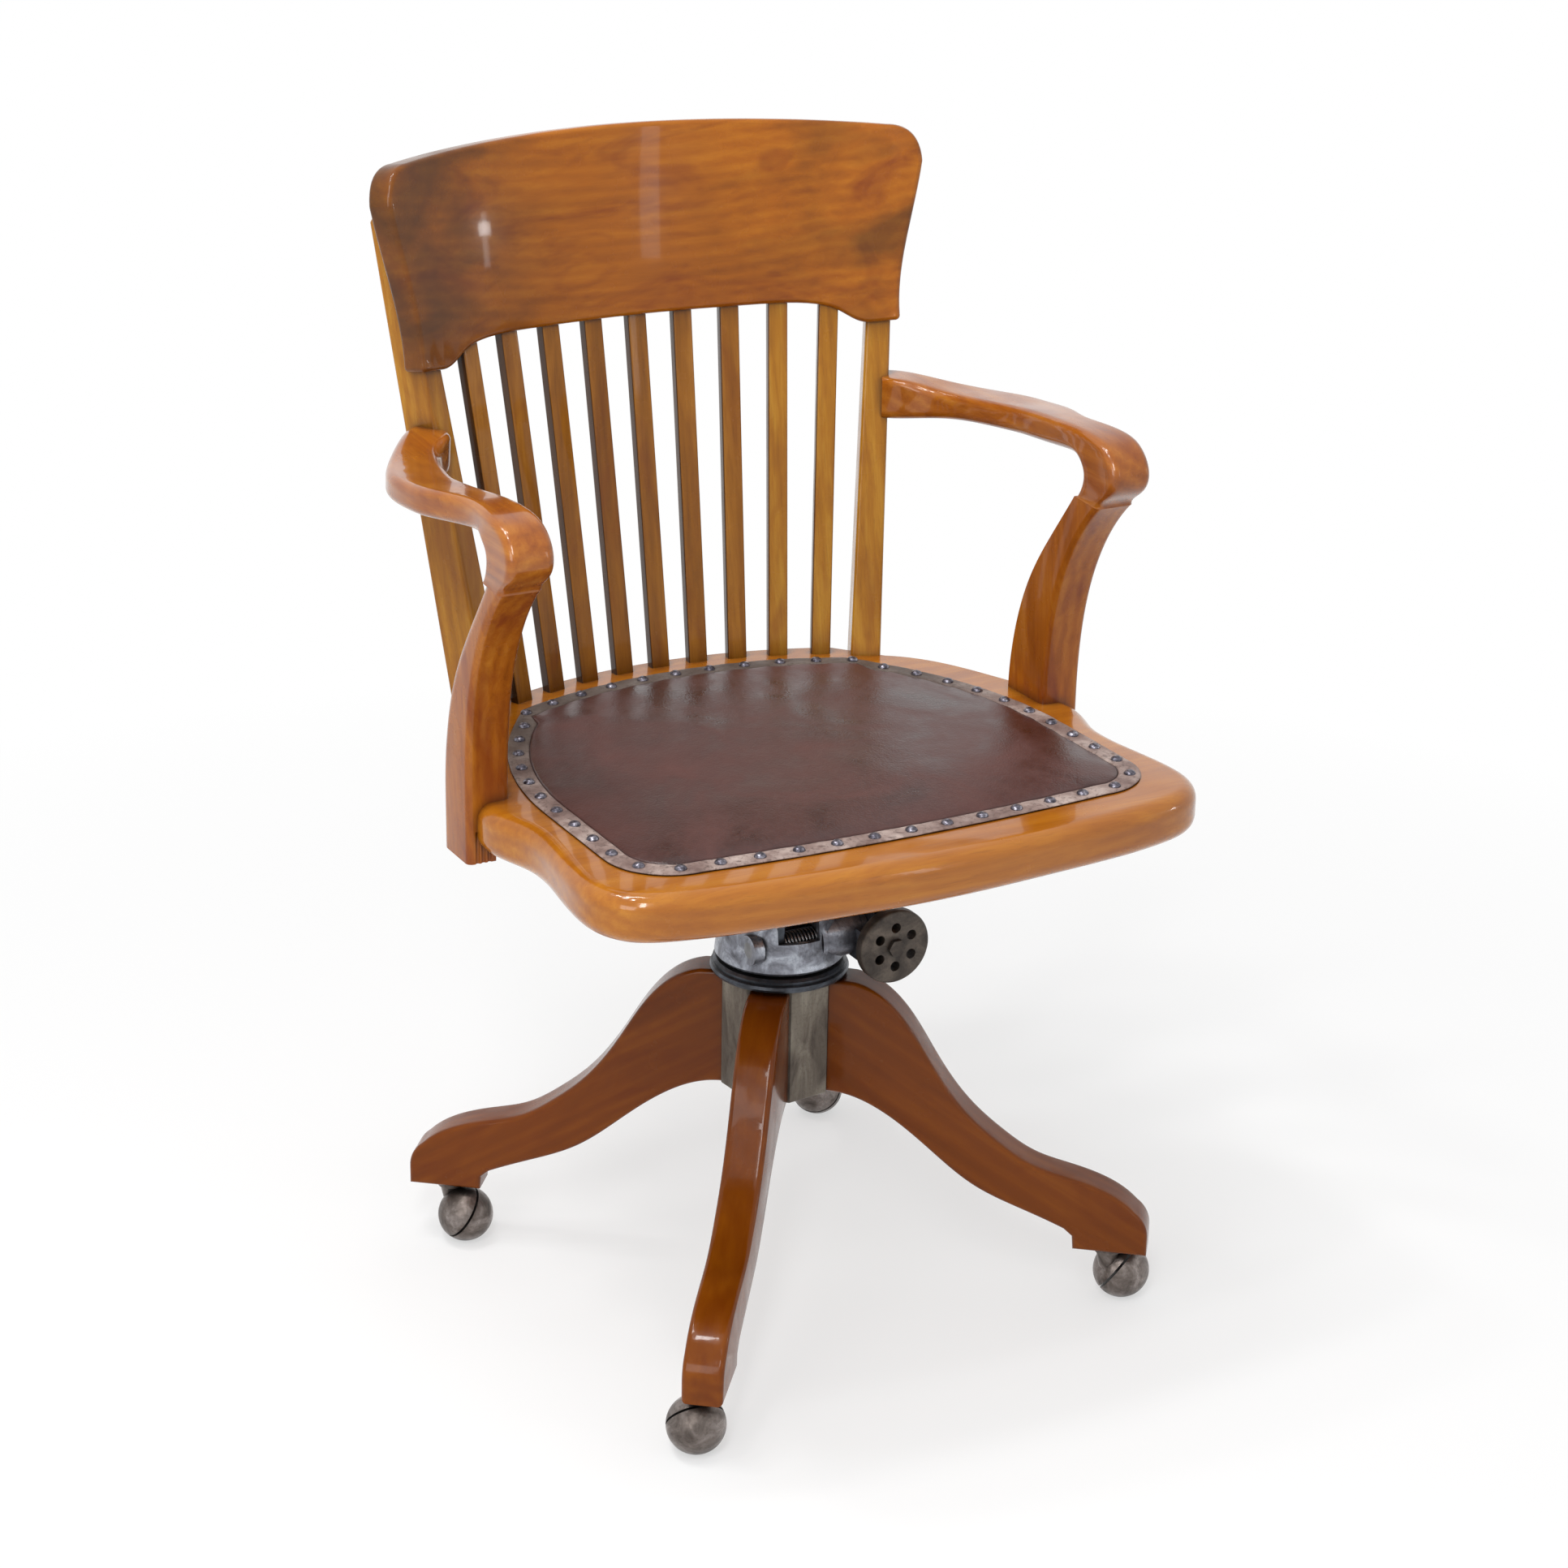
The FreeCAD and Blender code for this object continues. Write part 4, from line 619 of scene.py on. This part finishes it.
def ring_mesh(name, rings, closed_ends=(False, False), wrap=False):
    """Quads between rings of equally many points, which run anticlockwise from the lowest ring up."""
    build = bmesh.new()
    rows = [[build.verts.new(p) for p in ring] for ring in rings]
    count = len(rows[0])
    pairs = list(zip(rows, rows[1:]))
    if wrap:
        pairs.append((rows[-1], rows[0]))
    for low, high in pairs:
        for i in range(count):
            j = (i + 1) % count
            build.faces.new((low[i], low[j], high[j], high[i]))
    if closed_ends[0]:
        build.faces.new(reversed(rows[0]))
    if closed_ends[1]:
        build.faces.new(rows[-1])
    bmesh.ops.recalc_face_normals(build, faces=build.faces)
    mesh = bpy.data.meshes.new(name)
    build.to_mesh(mesh)
    build.free()
    mesh.shade_smooth()
    return mesh


def lathe(name, profile, steps=64):
    """A closed mesh turned round Z from (radius, height) pairs in mm."""
    turns = [math.tau * i / steps for i in range(steps)]
    rings = [
        [(radius * MM * math.cos(turn), radius * MM * math.sin(turn), height * MM) for turn in turns]
        for radius, height in profile
    ]
    return ring_mesh(name, rings, (True, True))


# Outline of the leather, worked out as the seat's own curves
def arc(a, b, c, steps):
    """Points on the arc from a through b to c, without c."""
    (ax, ay), (bx, by), (cx, cy) = a, b, c
    aa, bb, cc = (x * x + y * y for x, y in (a, b, c))
    double_area = 2 * (ax * (by - cy) + bx * (cy - ay) + cx * (ay - by))
    centre_x = (aa * (by - cy) + bb * (cy - ay) + cc * (ay - by)) / double_area
    centre_y = (aa * (cx - bx) + bb * (ax - cx) + cc * (bx - ax)) / double_area
    radius = math.hypot(ax - centre_x, ay - centre_y)
    start, middle, end = (math.atan2(y - centre_y, x - centre_x) for x, y in (a, b, c))
    sweep = (end - start) % math.tau
    if (middle - start) % math.tau > sweep:
        sweep -= math.tau
    turns = [start + sweep * i / steps for i in range(steps)]
    return [(centre_x + radius * math.cos(turn), centre_y + radius * math.sin(turn)) for turn in turns]


def straight(a, b, steps):
    """Points on the line from a to b, without b."""
    return [(a[0] + (b[0] - a[0]) * i / steps, a[1] + (b[1] - a[1]) * i / steps) for i in range(steps)]


def border_outline(inset):
    """Outline of the border strip in mm, moved inwards by inset from its outer edge, anticlockwise from
    the front. The half on the sitter's left is drawn, and the other half mirrors it."""
    i = inset
    front = ((0, -206 + i), (88, -204 + i))
    corner = ((172, -198 + i), (212 - 0.7 * i, -183 + 0.7 * i), (227 - i, -146))
    flank = ((227 - i, -40), (216 - i, 36), (168 - 0.9 * i, 138 - 0.5 * i))
    rear = ((150, 164 - i), (77, 188 - i), (0, 196 - i))
    half = arc(*front, corner[0], 28)
    half += arc(*corner, 16)
    half += straight(corner[2], flank[0], 16)
    half += arc(*flank, 28)
    half += straight(flank[2], rear[0], 6)
    half += arc(*rear, 22)
    mirrored = [(-x, y) for x, y in reversed(half)]
    return half + [rear[2]] + mirrored[:-1]


BAND_WIDTH = 18
SEAT_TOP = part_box("seat_pad")[0].z / MM
NAIL_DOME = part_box("seat_nails")[1].z / MM


def nail_places():
    """Centres of the nails, from the islands of the CAD nails."""
    build = bmesh.new()
    build.from_mesh(NODES["seat_nails"].data)
    bmesh.ops.remove_doubles(build, verts=build.verts, dist=0.01 * MM)
    seen = set()
    places = []
    for start in build.verts:
        if start in seen:
            continue
        island, waiting = [], [start]
        seen.add(start)
        while waiting:
            vert = waiting.pop()
            island.append(vert.co)
            for edge in vert.link_edges:
                other = edge.other_vert(vert)
                if other not in seen:
                    seen.add(other)
                    waiting.append(other)
        xs, ys = [p.x for p in island], [p.y for p in island]
        places.append(((max(xs) + min(xs)) / 2 / MM, (max(ys) + min(ys)) / 2 / MM))
    build.free()
    return places


NAILS = nail_places()


def nearest_nail(x, y):
    """Distance from a point to the nearest nail's centre, in mm."""
    return min(math.hypot(x - nx, y - ny) for nx, ny in NAILS)


def unevenness(x, y, size, height, layer):
    """Smooth hills and hollows of the given size and height in mm; each layer has its own pattern."""
    return height * noise.noise(Vector((x / size, y / size, layer)))


def leather_pad():
    """Crowned leather pad: sides drawn in at the border, shallow pulls towards each nail, and the soft
    unevenness of old stuffing."""
    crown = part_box("seat_pad")[1].z / MM - SEAT_TOP
    rings_to_middle = 34
    middle_y = -12
    foot_gap, foot_height = 0.5, 0.1
    bulge_over_strip = 0.6
    side_rise = 2.3
    nail_pull, pull_reach, pulled_beyond = 0.9, 8, 0.86
    foot = border_outline(BAND_WIDTH + foot_gap)
    rings = [[(x * MM, y * MM, (SEAT_TOP + foot_height) * MM) for x, y in foot]]
    outline = border_outline(BAND_WIDTH - bulge_over_strip)
    for step in range(rings_to_middle):
        # 1 at the border and 0 in the middle; the powers set rings closer at the edge and round the crown
        share = 1 - (step / rings_to_middle) ** 1.25
        rise = side_rise + (crown - side_rise - 1) * (1 - share ** 2.5) ** 0.72
        free_from_edge = 1 - share ** 6
        ring = []
        for x, y in outline:
            px, py = x * share, middle_y + (y - middle_y) * share
            pull = 0
            if share > pulled_beyond:
                pull = math.exp(-((nearest_nail(px, py) - pull_reach) / pull_reach) ** 2)
            broad = unevenness(px, py, size=85, height=1.5, layer=3.1)
            small = unevenness(px, py, size=34, height=0.5, layer=7)
            height = SEAT_TOP + rise - nail_pull * pull + (broad + small) * free_from_edge
            ring.append((px * MM, py * MM, height * MM))
        rings.append(ring)
    mesh = ring_mesh("leather_pad", rings, (True, True))
    pad = link_piece("leather_pad", mesh, MATERIALS["hide"])
    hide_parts("seat_pad")
    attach(pad, "seat")


# How far in from the strip's outer edge, and how high, in mm
STRIP_EDGE = 0.1
STRIP_SECTION = (
    (0, STRIP_EDGE), (0.1, 1.2), (1.2, 2.1), (3.5, 2.4), (6, 2.4), (9, 2.3),
    (12, 2.4), (15, 2.5), (17, 2.2), (17.9, 1.4), (BAND_WIDTH, STRIP_EDGE),
)


def border_strip():
    """Leather border strip: a flat fold that dimples under each nail and puckers between them."""
    dimple_depth, dimple_reach = 0.9, 6.5
    rings = []
    for inset, rise in STRIP_SECTION:
        ring = []
        for x, y in border_outline(inset):
            height = rise
            if rise > STRIP_EDGE:
                dimple = dimple_depth * math.exp(-(nearest_nail(x, y) / dimple_reach) ** 2)
                pucker = unevenness(x, y, size=6, height=0.5, layer=0.7)
                height = max(STRIP_EDGE, rise + pucker - dimple)
            ring.append((x * MM, y * MM, (SEAT_TOP + height) * MM))
        rings.append(ring)
    band = link_piece("border_strip", ring_mesh("border_strip", rings, wrap=True), MATERIALS["border"])
    finer = band.modifiers.new("round", "SUBSURF")
    finer.levels = finer.render_levels = 1
    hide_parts("gimp_band")
    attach(band, "seat")


def domed_nails():
    """Domed upholstery nails at the places of the CAD nails."""
    dome_height = 3.2
    base = NAIL_DOME - dome_height
    points = bpy.data.meshes.new("nail_points")
    points.from_pydata([(x * MM, y * MM, base * MM) for x, y in NAILS], [], [])
    nails = grown("domed_nails", points, nail_tree(), {
        "Dome radius": 4.7 * MM,
        "Dome height": dome_height * MM,
        "Material": MATERIALS["nail"],
    })
    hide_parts("seat_nails")
    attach(nails, "seat")


def threaded_spindle():
    """Height spindle: a cut thread below the shoulder, a plain journal and a narrower plain end above it."""
    low, high = (corner.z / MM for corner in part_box("spindle"))
    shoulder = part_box("thrust_washer")[0].z / MM
    journal_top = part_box("retaining_nut")[0].z / MM
    core_radius, shoulder_radius, journal_radius, end_radius = 15.6, 16.9, 14, 10
    core = lathe("spindle_core", (
        (13, low + 0.5),
        (core_radius, low + 3),
        (core_radius, shoulder - 3),
        (shoulder_radius, shoulder - 2),
        (shoulder_radius, shoulder),
        (journal_radius, shoulder),
        (journal_radius, journal_top),
        (end_radius, journal_top),
        (end_radius, high - 1),
        (9, high),
    ))
    ridge_spacing = 6
    margin = 6
    threaded = shoulder - low - 2 * margin
    spindle = grown("threaded_spindle", core, thread_tree(), {
        "Turns": threaded / ridge_spacing,
        "Radius": 15.5 * MM,
        "Length": threaded * MM,
        "Ridge": 1.35 * MM,
        "Start": (0, 0, (low + margin) * MM),
        "Material": MATERIALS["steel"],
    })
    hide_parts("spindle")
    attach(spindle, "column")


def dress_frame():
    """Gives every CAD node its finish and smooth shading between its sharp edges."""
    tree = smoothing_tree()
    for name, piece in NODES.items():
        material = MATERIALS[FINISHES.get(name, "steel")]
        if not piece.material_slots:
            piece.data.materials.append(material)
        for slot in piece.material_slots:
            slot.material = material
        smooth = piece.modifiers.new("smooth_between_edges", "NODES")
        smooth.node_group = tree


# Camera, floor and light
def camera():
    """The photograph's view: from the sitter's front right, a little above the seat."""
    azimuth, elevation, roll = (math.radians(degrees) for degrees in (-29.1, 21.2, 1.1))
    aim, distance = Vector((0.0005, -0.0012, 0.4298)), 2.6283
    along_floor = math.cos(elevation)
    back = Vector((math.sin(azimuth) * along_floor, -math.cos(azimuth) * along_floor, math.sin(elevation)))
    level = Vector((math.cos(azimuth), math.sin(azimuth), 0))
    upright = back.cross(level)
    right = level * math.cos(roll) + upright * math.sin(roll)
    up = upright * math.cos(roll) - level * math.sin(roll)
    lens = bpy.data.cameras.new("camera")
    lens.sensor_fit = "HORIZONTAL"
    lens.sensor_width = 36
    lens.lens = 76.71
    made = bpy.data.objects.new("camera", lens)
    turn = Matrix((right, up, back)).transposed().to_4x4()
    made.matrix_world = Matrix.Translation(aim + back * distance) @ turn
    bpy.context.scene.collection.objects.link(made)
    bpy.context.scene.camera = made


def seen_directly(tree):
    """1 where the camera, a mirror-like surface or glass looks, 0 where only diffuse light counts."""
    path = add(tree, "ShaderNodeLightPath").outputs
    seen = path["Is Camera Ray"]
    for other in ("Is Glossy Ray", "Is Transmission Ray"):
        seen = add(tree, "ShaderNodeMath", {0: seen, 1: path[other]}, operation="MAXIMUM").outputs[0]
    return seen


def floor():
    """Pale floor that keeps a soft shadow near the chair and fades to white further off."""
    reach = 9
    corners = [(-reach, -reach, 0), (reach, -reach, 0), (reach, reach, 0), (-reach, reach, 0)]
    mesh = bpy.data.meshes.new("floor")
    mesh.from_pydata(corners, [], [(0, 1, 2, 3)])
    material, tree, place = new_material("pale_studio_floor")
    far = add(tree, "ShaderNodeVectorMath", {0: place}, operation="LENGTH").outputs["Value"]
    fade = add(
        tree, "ShaderNodeMapRange", {"Value": far, "From Min": 0.35, "From Max": 1.5, "To Min": 0.55},
    ).outputs[0]
    share = add(tree, "ShaderNodeMath", {0: seen_directly(tree), 1: fade}, operation="MULTIPLY").outputs[0]
    matt = add(tree, "ShaderNodeBsdfDiffuse", {"Color": "#f2f2f2"}).outputs[0]
    white = add(tree, "ShaderNodeEmission", {"Color": "#ffffff", "Strength": 1.0}).outputs[0]
    both = add(tree, "ShaderNodeMixShader", {0: share, 1: matt, 2: white}).outputs[0]
    add(tree, "ShaderNodeOutputMaterial", {"Surface": both})
    link_piece("floor", mesh, material)


def world():
    """Room light that comes mostly from above, and a white backdrop where the camera or a polished
    surface looks."""
    made = bpy.data.worlds.new("studio")
    made.use_nodes = True
    tree = made.node_tree
    tree.nodes.clear()
    way = add(tree, "ShaderNodeTexCoord").outputs["Generated"]
    height = add(tree, "ShaderNodeSeparateXYZ", {0: way}).outputs["Z"]
    from_above = add(
        tree, "ShaderNodeMapRange",
        {"Value": height, "From Min": -0.1, "From Max": 0.9, "To Min": 0.12, "To Max": 0.75},
    ).outputs[0]
    room = add(tree, "ShaderNodeBackground", {"Color": "#ffffff", "Strength": from_above}).outputs[0]
    backdrop = add(tree, "ShaderNodeBackground", {"Color": "#ffffff", "Strength": 1.0}).outputs[0]
    both = add(tree, "ShaderNodeMixShader", {0: seen_directly(tree), 1: room, 2: backdrop}).outputs[0]
    add(tree, "ShaderNodeOutputWorld", {"Surface": both})
    bpy.context.scene.world = made


def lamp(name, place, aim, wide, tall, watts):
    """A soft rectangular lamp that faces aim."""
    data = bpy.data.lights.new(name, "AREA")
    data.shape = "RECTANGLE"
    data.size, data.size_y = wide, tall
    data.energy = watts
    made = bpy.data.objects.new(name, data)
    made.location = place
    made.rotation_euler = (Vector(aim) - Vector(place)).to_track_quat("-Z", "Y").to_euler()
    bpy.context.scene.collection.objects.link(made)


camera()
floor()
world()
# Ceiling panels whose small bright shapes show in the finish, broad light from the sitter's right and
# front, and narrow windows on the sitter's left
for number, y in enumerate((-0.4, 0.1, 0.6)):
    lamp(f"ceiling_panel_{number}", (-0.95, y, 2.7), aim=(0, 0, 0.4), wide=0.16, tall=0.24, watts=6)
lamp("ceiling_panel_middle", (-0.45, 0.15, 2.7), aim=(0, 0, 0.4), wide=0.1, tall=0.7, watts=9)
lamp("ceiling_panel_front", (-1.3, -1.8, 2.4), aim=(0, 0, 0.5), wide=0.4, tall=1.2, watts=27)
lamp("showroom_side", (-2.3, -1.5, 1.4), aim=(0, 0, 0.6), wide=1.2, tall=1.2, watts=17)
lamp("window_bright", (2.45, -1.3, 1.0), aim=(-0.13, 0.25, 0.88), wide=0.14, tall=0.08, watts=0.8)
lamp("window_far", (2.45, -1.3, 0.93), aim=(-0.13, 0.25, 0.85), wide=0.07, tall=0.34, watts=0.5)
lamp("window_front", (1.15, -2.5, 1.3), aim=(0, 0.27, 0.85), wide=0.2, tall=1.0, watts=2)
dress_frame()
leather_pad()
border_strip()
domed_nails()
threaded_spindle()

bpy.context.scene.view_settings.view_transform = "Standard"

bpy.context.view_layer.update()
